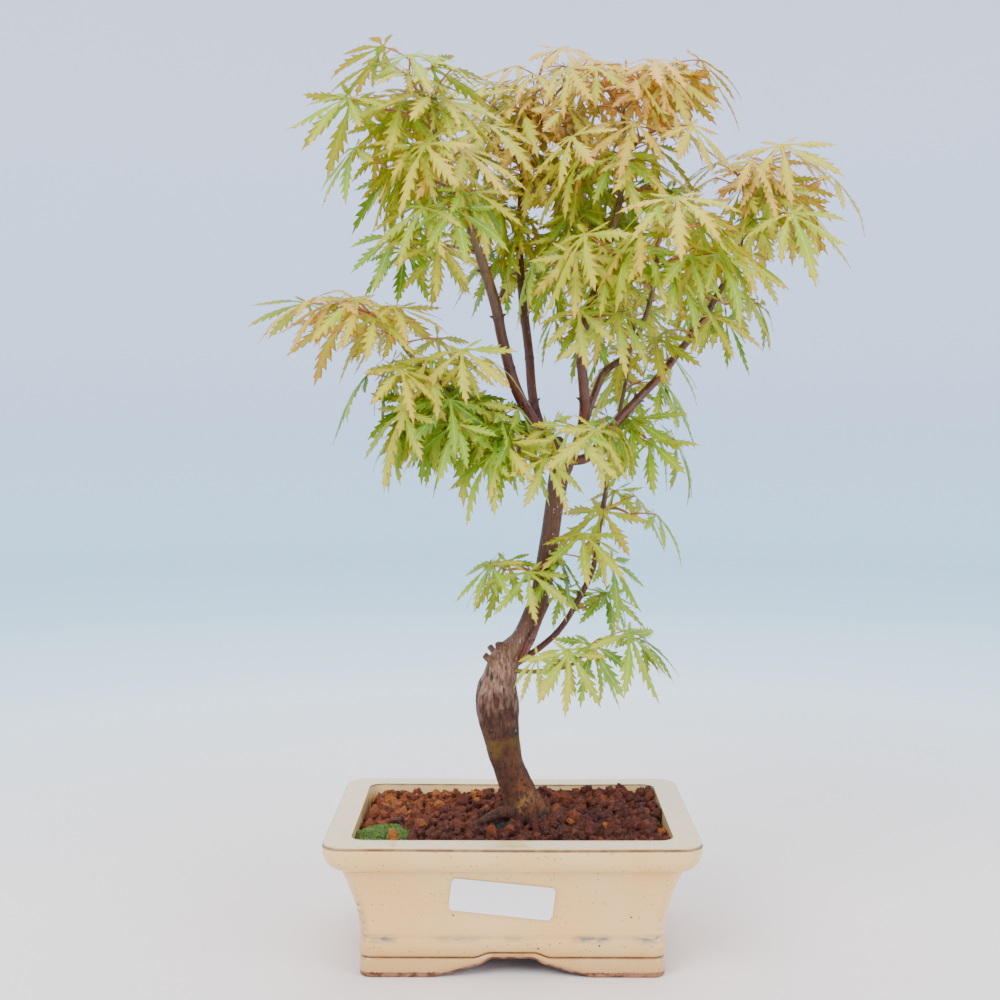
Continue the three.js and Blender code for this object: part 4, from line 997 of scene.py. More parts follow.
def make_pot(pot):
    """The pot as one closed profile carried round its rounded outline. The profile goes up the
    foot, over the bead, up the cove, round the bulge, across the rim and down inside; its lowest
    points follow the arches. The floor is a slab whose rings run from its edge through each drain
    hole and back."""
    half_x, half_y = pot.length / MM / 2, pot.depth / MM / 2
    height, foot, inset = pot.height / MM, pot.foot / MM, pot.foot_inset / MM
    bead_top = foot + pot.bead / MM
    bulge_z = height - 2 - pot.bulge / MM
    outline = rounded_outline(120, 80, 12)
    share_x, share_y, out_x, out_y = outline
    edge_x = share_x * (half_x - inset)
    edge_y = share_y * (half_y - inset)
    on_side = np.abs(out_x) > 0.99
    distance = np.where(on_side, np.abs(edge_y), np.abs(edge_x))
    length = np.where(on_side, pot.side_arch / MM, pot.front_arch / MM)
    low = arch_height(distance, length, pot.arch / MM)
    lift = 2.4 * ease(distance, 0.24 * length, 0.13 * length)
    groove = foot + lift
    corner = ease(np.abs(out_x * out_y), 0.0, 0.5)
    lipped = 0.7 * ease(low, 0.2, 1.5)
    flat = np.zeros_like(low)
    rows = []

    def row(row_inset, z, thin=0.0, rim=0.0, pooled=0.0, bare=0.0):
        """Adds a row of the profile: its inset, its height and its four marks."""
        rows.append(
            [np.asarray(part, float) + flat for part in (row_inset, z, thin, rim, pooled, bare)]
        )

    row(inset + 1.3, low, bare=1)
    row(inset + 0.45, low + 0.12, bare=1)
    row(inset + 0.1, low + 0.5, bare=1)
    standing = ease(low, 1.6, 0.1)
    row(inset, low + 1.1, bare=0.9, thin=0.4)
    row(inset - 0.02, low + 1.5, bare=0.2 + 0.8 * standing, thin=0.5)
    row(inset - 0.05, low + 1.75, bare=0.9 * standing, thin=0.2)
    row(inset + 0.1, low + 1.95, bare=0.8 * standing, thin=lipped)
    row(inset - 0.05, low + 2.15, bare=0.7 * standing)
    for share in (0.3, 0.6, 0.85):
        row(inset - 0.1, low + 2.15 + (groove - low - 3.05) * share)
    row(inset + 0.05, groove - 0.75, thin=0.15)
    row(inset + 0.75, groove - 0.3, thin=0.85)
    row(inset + 0.95, groove, thin=1)
    row(inset + 0.7, groove + 0.3, thin=0.8)
    row(inset, groove + 0.7, thin=0.1)
    for share in np.linspace(0.12, 1, 8):
        z = groove + 0.7 + (bead_top - groove - 0.7) * share
        row(
            inset - 0.8 * np.sin(math.pi * share) ** 0.7, z,
            pooled=float(ease(share, 0.75, 1)) * 0.8
        )
    row(inset + 0.35, bead_top + 0.35, pooled=1)
    row(inset + 0.3, bead_top + 0.9, pooled=0.9)
    for z in np.linspace(bead_top + 1.8, bulge_z - 0.6, 20):
        stained = 0.65 * ease(z, bead_top + 3.6, bead_top + 0.9)
        row(
            wall_inset(pot, z) - 0.05, z,
            pooled=stained + 0.5 * corner * ease(z, bulge_z, bead_top + 8)
        )
    row(wall_inset(pot, bulge_z) + 0.25, bulge_z - 0.15, pooled=0.9)
    for angle in np.linspace(0.1, TAU / 4, 12):
        z = bulge_z + pot.bulge / MM * (1 - math.cos(angle))
        row(
            pot.bulge_depth / MM * (1 - math.sin(angle)), z,
            pooled=0.25 * max(0, 0.5 - angle) + 0.5 * corner * 0.3
        )
    row(0.0, height - 1.9, thin=0.1)
    row(-0.05, height - 1.6, thin=0.85, pooled=0.3 * corner)
    row(0.0, height - 1.1, thin=1, pooled=0.4 * corner)
    row(0.15, height - 0.75, thin=0.95, pooled=0.4 * corner)
    row(0.5, height - 0.35, thin=0.35, rim=0.5, pooled=0.5 * corner)
    row(1.1, height - 0.12, rim=0.8)
    row(2.0, height - 0.02, rim=1)
    for share in np.linspace(0.15, 0.9, 6):
        row(pot.rim / MM * share + 1.2, height - 0.18 * math.sin(math.pi * share), rim=1)
    row(pot.rim / MM - 1.0, height - 0.02, rim=1)
    row(pot.rim / MM - 0.55, height - 0.18, rim=0.6, thin=0.7, pooled=0.9)
    row(pot.rim / MM - 0.25, height - 0.5, thin=0.9, pooled=0.9)
    row(pot.rim / MM - 0.05, height - 1.0, thin=0.3)
    for z in (height - 2, height - 4, height - 6, height - 9):
        row(pot.rim / MM, z, rim=0.6)
    floor_top = foot + pot.floor / MM
    for z in np.linspace(bulge_z, floor_top + 0.4, 8):
        row(np.maximum(wall_inset(pot, z) + pot.wall / MM, pot.rim / MM), z)
    row(inset + pot.wall / MM - 0.5, foot + 0.5)
    rail = inset + pot.rail / MM
    row(rail - 0.4, foot, bare=1)
    row(rail, np.minimum(foot - 0.3, low + 6), bare=1)
    row(rail, low + 0.45, bare=1)
    row(rail - 0.4, low + 0.1, bare=1)
    row(rail - 1.0, low, bare=1)

    table = np.array(rows)
    insets, z, thin, rim, pooled, bare = (table[:, part] for part in range(6))
    radius = np.maximum(pot.corner / MM - insets * 0.3, 2)
    x = share_x * (half_x - insets - radius) + radius * out_x
    y = share_y * (half_y - insets - radius) + radius * out_y
    warp = 0.25 * np.sin(x / 31 + 1) * np.sin(y / 23 + 2) * (z / height) ** 2
    rings = np.stack([x, y, z + warp * (z > foot + 3)], axis=-1)
    points = [rings.reshape(-1, 3)]
    faces = [grid_faces(len(rows), x.shape[1], joined_rows=True)]
    marks = {"thin": [thin], "rim": [rim], "pooled": [pooled], "bare": [bare]}

    offset = rings.shape[0] * rings.shape[1]
    slab_x, slab_y = half_x - inset - 4.5, half_y - inset - 4.5
    angle = np.arange(128) * TAU / 128
    cosine, sine = np.cos(angle), np.sin(angle)
    hole, spacing = pot.hole / MM, pot.hole_spacing / MM / 2
    for side in (-1, 1):
        to_end = np.where(cosine * side > 0, slab_x - spacing, spacing + 0.3)
        reach = np.minimum(
            to_end / np.maximum(np.abs(cosine), 1e-6), slab_y / np.maximum(np.abs(sine), 1e-6)
        )
        shares = [1, 0.5, 0.12, 0.03, 0, 0, 0.03, 0.12, 0.5, 1]
        levels = [floor_top, floor_top, floor_top, floor_top - 0.15, floor_top - 0.8]
        levels += [foot + 0.8, foot + 0.15, foot, foot, foot]
        away = np.array([hole + (reach - hole) * share for share in shares])
        ring_z = np.broadcast_to(np.array(levels)[:, None], away.shape)
        slab = np.stack([side * spacing + away * cosine, away * sine, ring_z], axis=-1)
        points.append(slab.reshape(-1, 3))
        faces.append(grid_faces(len(shares), len(angle), joined_rows=True) + offset)
        offset += slab.shape[0] * slab.shape[1]
        for name, value in (("thin", 0), ("rim", 0), ("pooled", 0), ("bare", 1)):
            marks[name].append(np.full(away.shape, value))
    flat_marks = {
        name: np.concatenate([part.ravel() for part in parts]) for name, parts in marks.items()
    }
    new_piece(
        "glazed_pot", np.concatenate(points), faces, glaze_finish(pot), ["pot"],
        flat_marks, crease=60
    )


def make_label(pot):
    """The blank sticker: a grid over a rounded rectangle, tilted, laid on the cove 0.5 mm proud of
    the wall and 0.3 mm thick, with its two sides joined round the edge."""
    long, high, corner, tilt = 51.0, 18.0, 2.4, math.radians(-6.5)
    centre_x, centre_z = -5.0, pot.height / MM - 29
    across = np.linspace(-1, 1, 61)
    along = across * long / 2
    past = np.maximum(np.abs(along) - (long / 2 - corner), 0)
    half = high / 2 - corner + np.sqrt(np.maximum(corner**2 - past**2, 0))
    up = np.linspace(-1, 1, 25)[:, None] * half
    x = centre_x + along * math.cos(tilt) - up * math.sin(tilt)
    z = centre_z + along * math.sin(tilt) + up * math.cos(tilt)
    lifted = 0.35 * np.clip(across - 0.8, 0, 1) ** 2 * 12
    wall_y = wall_inset(pot, z) - pot.depth / MM / 2
    sides = [np.stack([x, wall_y - proud - lifted, z], axis=-1) for proud in (0.5, 0.8)]
    rows, columns = x.shape
    back, front = (side.reshape(-1, 3) for side in sides)
    sheet = grid_faces(rows, columns, joined_columns=False)
    edge = np.concatenate([
        np.arange(columns),
        np.arange(1, rows) * columns + columns - 1,
        (rows - 1) * columns + np.arange(columns - 2, -1, -1),
        np.arange(rows - 2, 0, -1) * columns,
    ])
    onward = np.roll(edge, -1)
    count = rows * columns
    rim = np.stack([edge, onward, onward + count, edge + count], axis=-1)
    new_piece(
        "blank_sticker", np.concatenate([back, front]), [sheet[:, ::-1], sheet + count, rim],
        label_finish(),
        ["blank_label"],
    )


def finish_drainage():
    """The mesh screens and wire clips keep their solid shape and get their own finish."""
    screen = plain_part_finish(
        "Screen plastic", linear(0.09, 0.10, 0.09), linear(0.20, 0.20, 0.18), 0.5
    )
    wire = plain_part_finish(
        "Clip wire", linear(0.72, 0.72, 0.71), linear(0.50, 0.49, 0.47), 0.32, 1.0
    )
    looks = [("drain_screen_", screen, "screen_plastic"), ("drain_clip_", wire, "clip_wire")]
    for side in ("left", "right"):
        for node, finish, slot in looks:
            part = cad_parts[node + side]
            part.data.materials.clear()
            part.data.materials.append(finish)


# ---------- soil and moss ----------


def crumb_template(cuts):
    """A cube whose faces are cut into cuts by cuts, pushed two thirds of the way to a ball. Its
    points are the outer points of a cubic lattice, and its faces the lattice's outer squares."""
    steps = np.arange(cuts + 1)
    lattice = np.stack(np.meshgrid(steps, steps, steps, indexing="ij"), axis=-1).reshape(-1, 3)
    outer = ((lattice == 0) | (lattice == cuts)).any(axis=1)
    number = np.cumsum(outer) - 1
    weight = np.array([(cuts + 1) ** 2, cuts + 1, 1])
    across, along = (part.ravel() for part in np.meshgrid(steps[:-1], steps[:-1], indexing="ij"))
    faces = []
    for axis in range(3):
        for end in (0, cuts):
            corners = []
            for step_a, step_b in ((0, 0), (1, 0), (1, 1), (0, 1)):
                place = (across + step_a) * weight[(axis + 1) % 3] + end * weight[axis]
                corners.append(number[place + (along + step_b) * weight[(axis + 2) % 3]])
            square = np.stack(corners, axis=-1)
            faces.append(square if end else square[:, ::-1])
    cube = lattice[outer] * 2.0 / cuts - 1
    return cube * 0.35 + unit(cube) * 0.65, np.concatenate(faces)


def crumbs(places, sizes, seed, cuts):
    """Many uneven lumps: the template pushed in and out at each point by up to a quarter, stretched
    on three axes, turned by a random rotation and scaled to its size."""
    dice = np.random.default_rng(seed)
    template, faces = crumb_template(cuts)
    count = len(places)
    lumps = template[None] * (1 + 0.52 * (dice.random((count, len(template), 1)) - 0.5))
    lumps = lumps * dice.uniform(0.6, 1.3, (count, 1, 3))
    turn = np.linalg.qr(dice.normal(size=(count, 3, 3)))[0]
    turn[:, :, 0] *= np.sign(np.linalg.det(turn))[:, None]
    lumps = np.einsum("nij,nkj->nki", turn, lumps) * (sizes / 2)[:, None, None]
    return (lumps + places[:, None]).reshape(-1, 3), repeated(faces, count, len(template))


def within(x, y, centre, reach):
    """Share of the way to an oval's edge: under 1 is inside."""
    return np.hypot((x - centre[0]) / reach[0], (y - centre[1]) / reach[1])


def moss_place(pot):
    """Middle and half sizes of the moss patch in the front left corner."""
    x = -(pot.length / MM / 2 - pot.rim / MM - 0.5 - 13.5)
    y = -(pot.depth / MM / 2 - pot.rim / MM - 0.5 - 21)
    return (x, y), (13.5, 21)


def make_root_ball(pot, soil):
    """Peaty soil: rings of the pot's inner outline from the middle of its underside out, up and
    back in to the middle of its top, roughened by summed waves on the top."""
    gap, floor_top = 0.3, (pot.foot + pot.floor) / MM
    top = (pot.height - soil.below_rim) / MM - 4.2
    outline = rounded_outline(90, 60, 8)
    levels = np.linspace(floor_top + 0.4, top, 9)
    insets = np.maximum(wall_inset(pot, levels) + pot.wall / MM, pot.rim / MM) + gap
    shares = np.linspace(0.03, 1, 30)
    half_x, half_y = pot.length / MM / 2, pot.depth / MM / 2
    under = [(insets[0], share, levels[0]) for share in shares[::4]]
    side = [(inset, 1.0, z) for inset, z in zip(insets, levels)]
    over = [(insets[-1], share, top) for share in shares[::-1]]
    table = np.array(under + side + over)
    radius = np.maximum(pot.corner / MM - table[:, 0] * 0.3, 2)
    rings = outline_points(
        outline, half_x - table[:, 0], half_y - table[:, 0], radius, table[:, 2][:, None]
    )
    rings[..., :2] *= table[:, 1][:, None, None]
    x, y = rings[..., 0], rings[..., 1]
    rough = np.sin(x * 1.1 + 2 * np.sin(y * 0.7)) + np.sin(y * 1.6 + 2 * np.sin(x * 0.9))
    rough = rough + np.sin((x + y) * 2.3)
    on_top = (np.arange(len(table)) >= len(under) + len(side))[:, None]
    rings[..., 2] += np.where(on_top, 0.5 * rough, 0)
    points, faces = tube_shapes(rings[None])
    new_piece("peaty_root_ball", points, faces, peat_finish(soil), ["root_ball"])


def make_granules(pot, soil):
    """Clay granules in three uneven layers on shaken grids. They are left out at the trunk, in the
    moss, in the hollow beside the trunk and along the strips of bare peat. Each has one size and
    one tone: lighter to the back left, darker in front."""
    dice = np.random.default_rng(SEEDS["granule_place"])
    half_x = pot.length / MM / 2 - pot.rim / MM
    half_y = pot.depth / MM / 2 - pot.rim / MM
    level = (pot.height - soil.below_rim) / MM
    size = soil.granule / MM
    clearance = 3.2
    moss_centre, moss_reach = moss_place(pot)
    layers = []
    for layer, (spacing, lower, kept) in enumerate(
        ((0.84, -4.3, 1.0), (0.86, -1.3, 0.97), (1.0, 1.3, 0.34))
    ):
        pitch = size * spacing
        x, y = np.meshgrid(
            *(np.arange(-half + 2.4, half - 2.2, pitch) for half in (half_x, half_y))
        )
        x = (x + dice.uniform(-0.42, 0.42, x.shape) * pitch).ravel()
        y = (y + dice.uniform(-0.42, 0.42, y.shape) * pitch).ravel()
        x = np.clip(x, -half_x + clearance, half_x - clearance)
        y = np.clip(y, -half_y + clearance, half_y - clearance)
        scatter = dice.random(x.shape)
        heap = 0.7 * np.sin(x / 17 + 1) * np.sin(y / 13) + 0.9 * ease(y, 10, 48) + 0.5 * ease(
            x, -20, 60
        )
        left_strip = ease(x, -half_x + 9, -half_x + 3) * ease(y, -14, 0)
        back_strip = ease(y, half_y - 9, half_y - 3) * ease(x, -18, -36)
        right_strip = ease(y, half_y - 6, half_y - 2) * ease(x, 40, 52)
        strip = np.maximum(np.maximum(left_strip, back_strip), right_strip)
        clear = within(x, y, (TRUNK_X - 1, TRUNK_Y), (9.5, 9)) > 1
        clear &= within(x, y, HOLLOW, (7.5, 8)) > 1
        if layer:
            clear &= within(x, y, moss_centre, moss_reach) > 1.0
            clear &= scatter > strip * (1.2 if layer == 2 else 0.95)
        else:
            clear &= scatter > strip * 0.55
        clear &= dice.random(x.shape) < kept * (0.6 + 0.8 * ease(y, -30, 40) if layer == 2 else 1)
        z = level + lower + heap + dice.uniform(-0.7, 0.7, x.shape)
        layers.append(np.stack([x, y, z], axis=-1)[clear])
    for layer, places in enumerate(layers):
        count = len(places)
        lay = np.random.default_rng(SEEDS["granule_tone"] + layer)
        sizes = size * np.clip(lay.normal(1.04, 0.2, count), 0.62, 1.5)
        dry = 0.34 * ease(places[:, 0], 0, -60) * ease(places[:, 1], -30, 10)
        lightness = 0.34 + dry + lay.normal(0, 0.16, count)
        odd = np.where(lay.random(count) < 0.06, 0.35, 0)
        lightness = lightness + 0.12 * ease(places[:, 1], 15, 45) + odd
        if layer == 2:
            extra = np.array([[moss_centre[0] + 6.5, moss_centre[1] - 15, level + 4.4]])
            places, sizes = np.concatenate([places, extra]), np.append(sizes, 6.4)
            lightness = np.append(lightness, 1.0)
        cuts = 2 if layer == 0 else 3
        points, faces = crumbs(places, sizes, SEEDS["granule_shape"] + layer, cuts)
        tones = np.repeat(np.clip(lightness, 0, 1), len(points) // len(places))
        finish = bpy.data.materials.get("Clay granules") or granule_finish(soil)
        name = ("granule_bed", "granules", "loose_granules")[layer]
        replaced = ["akadama_layer"] if layer == 1 else []
        new_piece(name, points, [faces], finish, replaced, {"tone": tones}, crease=80)


def make_moss(
    name, node, centre, reach, height, level, filaments, seed, deep, fresh, longest
):
    """A low mound with a filament standing on each of many scattered places. The mound is a stack
    of ovals; a filament is a three-sided tube that leans out from the middle and tapers to its
    tip."""
    dice = np.random.default_rng(seed)
    columns = 40
    angle = np.arange(columns) * TAU / columns
    wobble = 1 + 0.06 * np.sin(3 * angle + seed) + 0.04 * np.sin(7 * angle)
    shares = np.array([0.1, 0.6, 1, 1, 0.95, 0.85, 0.7, 0.5, 0.25, 0.05])
    buried = np.arange(len(shares)) < 3
    lifts = np.where(buried, -4.5, height * (1 - shares**2) - 0.6)
    rings = np.stack([
        centre[0] + reach[0] * shares[:, None] * wobble * np.cos(angle),
        centre[1] + reach[1] * shares[:, None] * wobble * np.sin(angle),
        level + np.broadcast_to(lifts[:, None], (len(shares), columns)),
    ], axis=-1)
    mound, mound_faces = tube_shapes(rings[None])
    turn = dice.uniform(0, TAU, filaments)
    away = np.sqrt(dice.random(filaments)) * 0.99
    spread = 1 + 0.06 * np.sin(3 * turn + seed) + 0.04 * np.sin(7 * turn)
    foot = np.stack([
        centre[0] + reach[0] * away * spread * np.cos(turn),
        centre[1] + reach[1] * away * spread * np.sin(turn),
        level + height * (1 - away**2) - 0.9,
    ], axis=-1)
    lean = 0.35 * away + 0.25 * dice.normal(size=filaments)
    side = turn + dice.normal(0, 0.9, filaments)
    tip = np.stack([lean * np.cos(side), lean * np.sin(side), np.ones(filaments)], axis=-1)
    length = longest * dice.uniform(0.6, 1.15, filaments)
    share = np.array([0, 0.55, 1.0])[:, None]
    path = foot[:, None] + tip[:, None] * length[:, None, None] * share
    path[..., 2] -= 0.25 * length[:, None] * share[:, 0] ** 2 * np.abs(lean)[:, None]
    radius = np.array([0.34, 0.44, 0.12])[None, :, None] * dice.uniform(0.8, 1.2, (filaments, 1, 1))
    blades, blade_faces = tube_shapes(sweep(path, radius, 3))
    bright = np.clip(dice.normal(0.62, 0.3, filaments), 0.0, 1)
    ring_tip = np.repeat(np.array([0.0, 0.55, 1.0]), 3)
    each = np.append(ring_tip, [0.0, 1.0])
    tips = np.concatenate([np.full(len(mound), 0.0), (bright[:, None] * each).ravel()])
    faces = mound_faces + [part + len(mound) for part in blade_faces]
    finish = moss_finish(name.replace("_", " ").capitalize(), deep, fresh)
    new_piece(
        name, np.concatenate([mound, blades]), faces, finish, [node], {"tip": tips}, crease=80
    )


# ---------- wood ----------


def thickness(radii, share):
    """Radius at a share of a stem: the listed radii, a curve through them at even spacing."""
    corners = np.stack(
        [np.linspace(0, 1, len(radii)), np.asarray(radii, float), np.zeros(len(radii))], axis=-1
    )
    fine = smooth_path(corners, 400)
    return np.interp(share, fine[:, 0], fine[:, 1])


def domed(radius, share, length, dome):
    """The radius drawn in to a round end over the last stretch of a stem, as a quarter circle."""
    left = np.clip((1 - share) * length / dome, 0, 1)
    return radius * np.sqrt(np.maximum(1 - (1 - left) ** 2, 0.0025))


def joined(parts):
    """Several shapes as one: their points in turn, their faces renumbered to match, and their
    marks."""
    points, faces, marks, offset = [], [], {}, 0
    for part_points, part_faces, part_marks in parts:
        points.append(part_points)
        faces.extend(part + offset for part in part_faces)
        offset += len(part_points)
        for name, values in part_marks.items():
            marks.setdefault(name, []).append(values)
    return np.concatenate(points), faces, {
        name: np.concatenate(values) for name, values in marks.items()
    }


def ring_values(values, sides):
    """A number for each row of a tube, given to each of its points and to its two end middles."""
    return np.append(np.repeat(values, sides), [values[0], values[-1]])


def trunk_part(corners, radii, rows, sides, seed, rough, dome, flare=0.0, knots=()):
    """A trunk: rings along its path. Each radius is the listed one, swelled by slow and fine
    ripples, a three-lobed flare at the soil and round knots, and drawn in to a dome at the top."""
    path = smooth_path(corners, rows)
    share = np.linspace(0, 1, rows)
    length = float(path_length(path))
    around = np.arange(sides) * TAU / sides
    far = (share * length)[:, None]
    slow = ripple(around, far, seed, 9, 5, 44)
    fine = ripple(around, far, seed + 1, 24, 26, 13)
    radius = thickness(radii, share)[:, None] * (1 + rough * slow + 0.5 * rough * fine)
    above = path[:, 2:3] - corners[1][2]
    radius = radius + flare * np.exp(-((above / 7) ** 2)) * (0.55 + 0.45 * np.cos(3 * around + 0.7))
    for knot_z, knot_turn, knot_size, knot_reach in knots:
        bend = np.angle(np.exp(1j * (around - knot_turn)))
        swell = np.exp(
            -(((path[:, 2:3] - knot_z) / knot_reach) ** 2) - (bend / (knot_reach / 9)) ** 2
        )
        radius = radius + knot_size * swell
    radius = domed(radius, share[:, None], length, dome)
    points, faces = tube_shapes(sweep(path, radius, sides)[None])
    return points, faces, around


def make_trunk(tree, pot, soil):
    """The rootstock with its roots, and the scion grafted on it."""
    level = (pot.height - soil.below_rim) / MM
    finish = bark_finish(tree, level)
    corners, radii = STEMS["rootstock_trunk"]
    corners = from_trunk_base(corners + [(-12.6, -1, 88.5)])
    knots = [
        (level + 70, 1.0, 1.6, 5.0), (level + 78, 3.4, 1.8, 5.5), (level + 60, 5.2, 1.2, 6.0),
        (level + 83, 0.3, 1.4, 4.0), (level + 40, 2.5, 0.8, 5.0),
    ]
    points, faces, _ = trunk_part(
        corners, radii + [7.6], 260, 108, SEEDS["rootstock"], 0.07, 5.0, 2.4, knots
    )
    blank = np.zeros(len(points))
    parts = [(points, faces, {"scion": blank, "cut": blank, "sunny": blank})]
    root_rows, root_sides = 44, 18
    for index, (root_corners, root_radii) in enumerate(ROOTS):
        path = smooth_path(from_trunk_base(root_corners), root_rows)
        length = float(path_length(path))
        share = np.linspace(0, 1, root_rows)
        around = np.arange(root_sides) * TAU / root_sides
        far = (share * length)[:, None]
        radius = thickness(root_radii, share)[:, None] * (
            1 + 0.13 * ripple(around, far, SEEDS["roots"] + index, 9, 6, 14)
        )
        radius = domed(radius, share[:, None], length, 2.0)
        root_points, root_faces = tube_shapes(sweep(path, radius, root_sides)[None])
        blank = np.zeros(len(root_points))
        parts.append(
            (root_points, root_faces, {"scion": blank, "cut": blank + 0.35, "sunny": blank})
        )
    points, faces, marks = joined(parts)
    new_piece("rootstock", points, faces, finish, ["rootstock_trunk"], marks, crease=80)

    corners, radii = STEMS["scion_trunk"]
    corners = from_trunk_base([(-15.5, -1, 80)] + corners + [(18.2, -2, 194)])
    knots = [
        (level + 128, 3.6, 1.0, 3.5), (level + 152, 0.4, 0.8, 3.5), (level + 188, 2.0, 1.1, 4.5),
        (level + 186, 5.0, 1.2, 4.5), (level + 100, 2.6, 0.7, 4.0),
    ]
    rows, sides = 210, 72
    points, faces, around = trunk_part(
        corners, [7.4] + radii + [4.8], rows, sides, SEEDS["scion"], 0.04, 5.0, 0.0, knots
    )
    sunny = np.clip(np.cos(around[None, :] + 0.6), 0, 1) * np.ones((rows, 1))
    marks = {
        "scion": np.ones(len(points)),
        "cut": np.zeros(len(points)),
        "sunny": np.append(sunny.ravel(), [0, 0]),
    }
    new_piece("scion", points, faces, finish, ["scion_trunk"], marks, crease=80)


def node_places(length, seed):
    """Distances of the growth rings along a stem: steps of 17 to 27 mm."""
    steps = np.random.default_rng(seed).uniform(17, 27, int(length / 17) + 1)
    places = np.cumsum(steps) - 9
    return places[places < length - 5]


def make_branches(tree):
    """Each branch is a tube that swells a tenth at its growth rings, where two buds face each
    other. The cut stubs stand on the trunk and the leaders."""
    finish = branch_finish(tree)
    bud_parts = []
    for index, (name, youth) in enumerate(STEM_YOUTH.items()):
        corners, radii = STEMS[name]
        corners = from_trunk_base(corners)
        rough_length = float(path_length(smooth_path(corners, 60)))
        rows, sides = int(rough_length / 0.9), 16
        path = smooth_path(corners, rows)
        share = np.linspace(0, 1, rows)
        far = share * rough_length
        places = node_places(rough_length, SEEDS["rings"] + index)
        near = np.exp(-(((far[:, None] - places) / 0.8) ** 2)).max(axis=1, initial=0)
        lean = np.sin(far / 23 + index)
        around = np.arange(sides) * TAU / sides
        wave = ripple(around, far[:, None], SEEDS["branch"] + index, 7, 4, 30)
        radius = thickness(radii, share)[:, None] * (1 + 0.1 * near[:, None] + 0.05 * wave)
        radius = domed(radius, share[:, None], rough_length, 1.5)
        side = np.stack([lean * 0.35, np.cos(far / 19 + index) * 0.35, 0 * far], axis=-1)
        points, faces = tube_shapes(sweep(path + side, radius, sides)[None])
        green = youth[0] + (youth[1] - youth[0]) * ease(share, 0.15, 1)
        marks = {"youth": ring_values(green, sides), "ring": ring_values(near**2, sides)}
        replaced = [name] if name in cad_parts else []
        new_piece(name + "_wood", points, faces, finish, replaced, marks, crease=80)
        heading = unit(np.gradient(path, axis=0))
        for order, place in enumerate(places):
            k = int(np.searchsorted(far, place))
            least = np.eye(3)[int(np.argmin(np.abs(heading[k])))]
            out = unit(np.cross(heading[k], least))
            beside = np.cross(heading[k], out)
            turned = out * math.cos(order * 1.57) + beside * math.sin(order * 1.57)
            for way in (-1, 1):
                start = path[k] + side[k] + turned * way * radius[k, 0] * 0.6
                end = start + turned * way * (radius[k, 0] * 0.6 + 0.9) + heading[k] * 1.5
                bud_parts.append((start, end, 0.45 * radius[k, 0] ** 0.5))
    starts, ends, sizes = (np.array(part) for part in zip(*bud_parts))
    share = np.linspace(0, 1, 5)[:, None]
    bud_path = starts[:, None] + (ends - starts)[:, None] * share
    bud_radius = np.array([0.9, 1.1, 0.95, 0.6, 0.08])[None, :, None] * sizes[:, None, None]
    points, faces = tube_shapes(sweep(bud_path, bud_radius, 6))
    marks = {"youth": np.full(len(points), 0.15), "ring": np.full(len(points), 0.35)}
    new_piece("buds", points, faces, finish, [], marks, crease=80)

    old = bpy.data.materials["Trunk bark"]
    starts, ends = (from_trunk_base([stub[part] for stub in STUBS]) for part in (0, 1))
    sizes = np.array([stub[2] for stub in STUBS])
    share = np.array([0, 0.3, 0.6, 0.85, 0.97, 1.0])
    path = starts[:, None] + (ends - starts)[:, None] * share[:, None]
    around = np.arange(14) * TAU / 14
    uneven = 1 + 0.12 * np.sin(3 * around + sizes[:, None, None] * 9 + share[:, None] * 5)
    taper = np.array([1.35, 1.05, 0.95, 0.95, 0.88, 0.55])[None, :, None]
    points, faces = tube_shapes(sweep(path, sizes[:, None, None] * taper * uneven, 14))
    each = np.concatenate([np.repeat([0.1, 0.2, 0.3, 0.5, 1, 1], 14), [0.1, 1]])
    cut = np.tile(each, len(STUBS))
    grafted = np.repeat(
        np.where(starts[:, 2] > from_trunk_base([(0, 0, 95)])[0, 2], 1.0, 0.25), len(each)
    )
    marks = {"scion": grafted, "cut": cut, "sunny": np.zeros(len(points))}
    new_piece("cut_stubs", points, faces, old, [], marks, crease=60)


# ---------- leafy sprays ----------

# Lobes of a leaf: angle from the main lobe in degrees, and length as a share of it.
LOBE_ANGLES = np.radians([-124, -84, -42, 0, 42, 84, 124])
LOBE_SHARES = np.array([0.36, 0.7, 0.93, 1, 0.93, 0.7, 0.36])

# Rows of a lobe as shares of its length: place along the rib, then how far along and how far out
# the margin is. The margin steps in and out, so each tooth points forward.
LOBE_ROWS = np.array([
    (0.00, 0.00, 0.020), (0.09, 0.10, 0.040), (0.17, 0.18, 0.026), (0.25, 0.26, 0.032),
    (0.32, 0.41, 0.086), (0.39, 0.39, 0.048), (0.46, 0.56, 0.132), (0.53, 0.52, 0.058),
    (0.59, 0.69, 0.128), (0.66, 0.65, 0.050), (0.72, 0.80, 0.096), (0.79, 0.77, 0.034),
    (0.85, 0.89, 0.062), (0.91, 0.90, 0.026), (1.00, 1.00, 0.004),
])


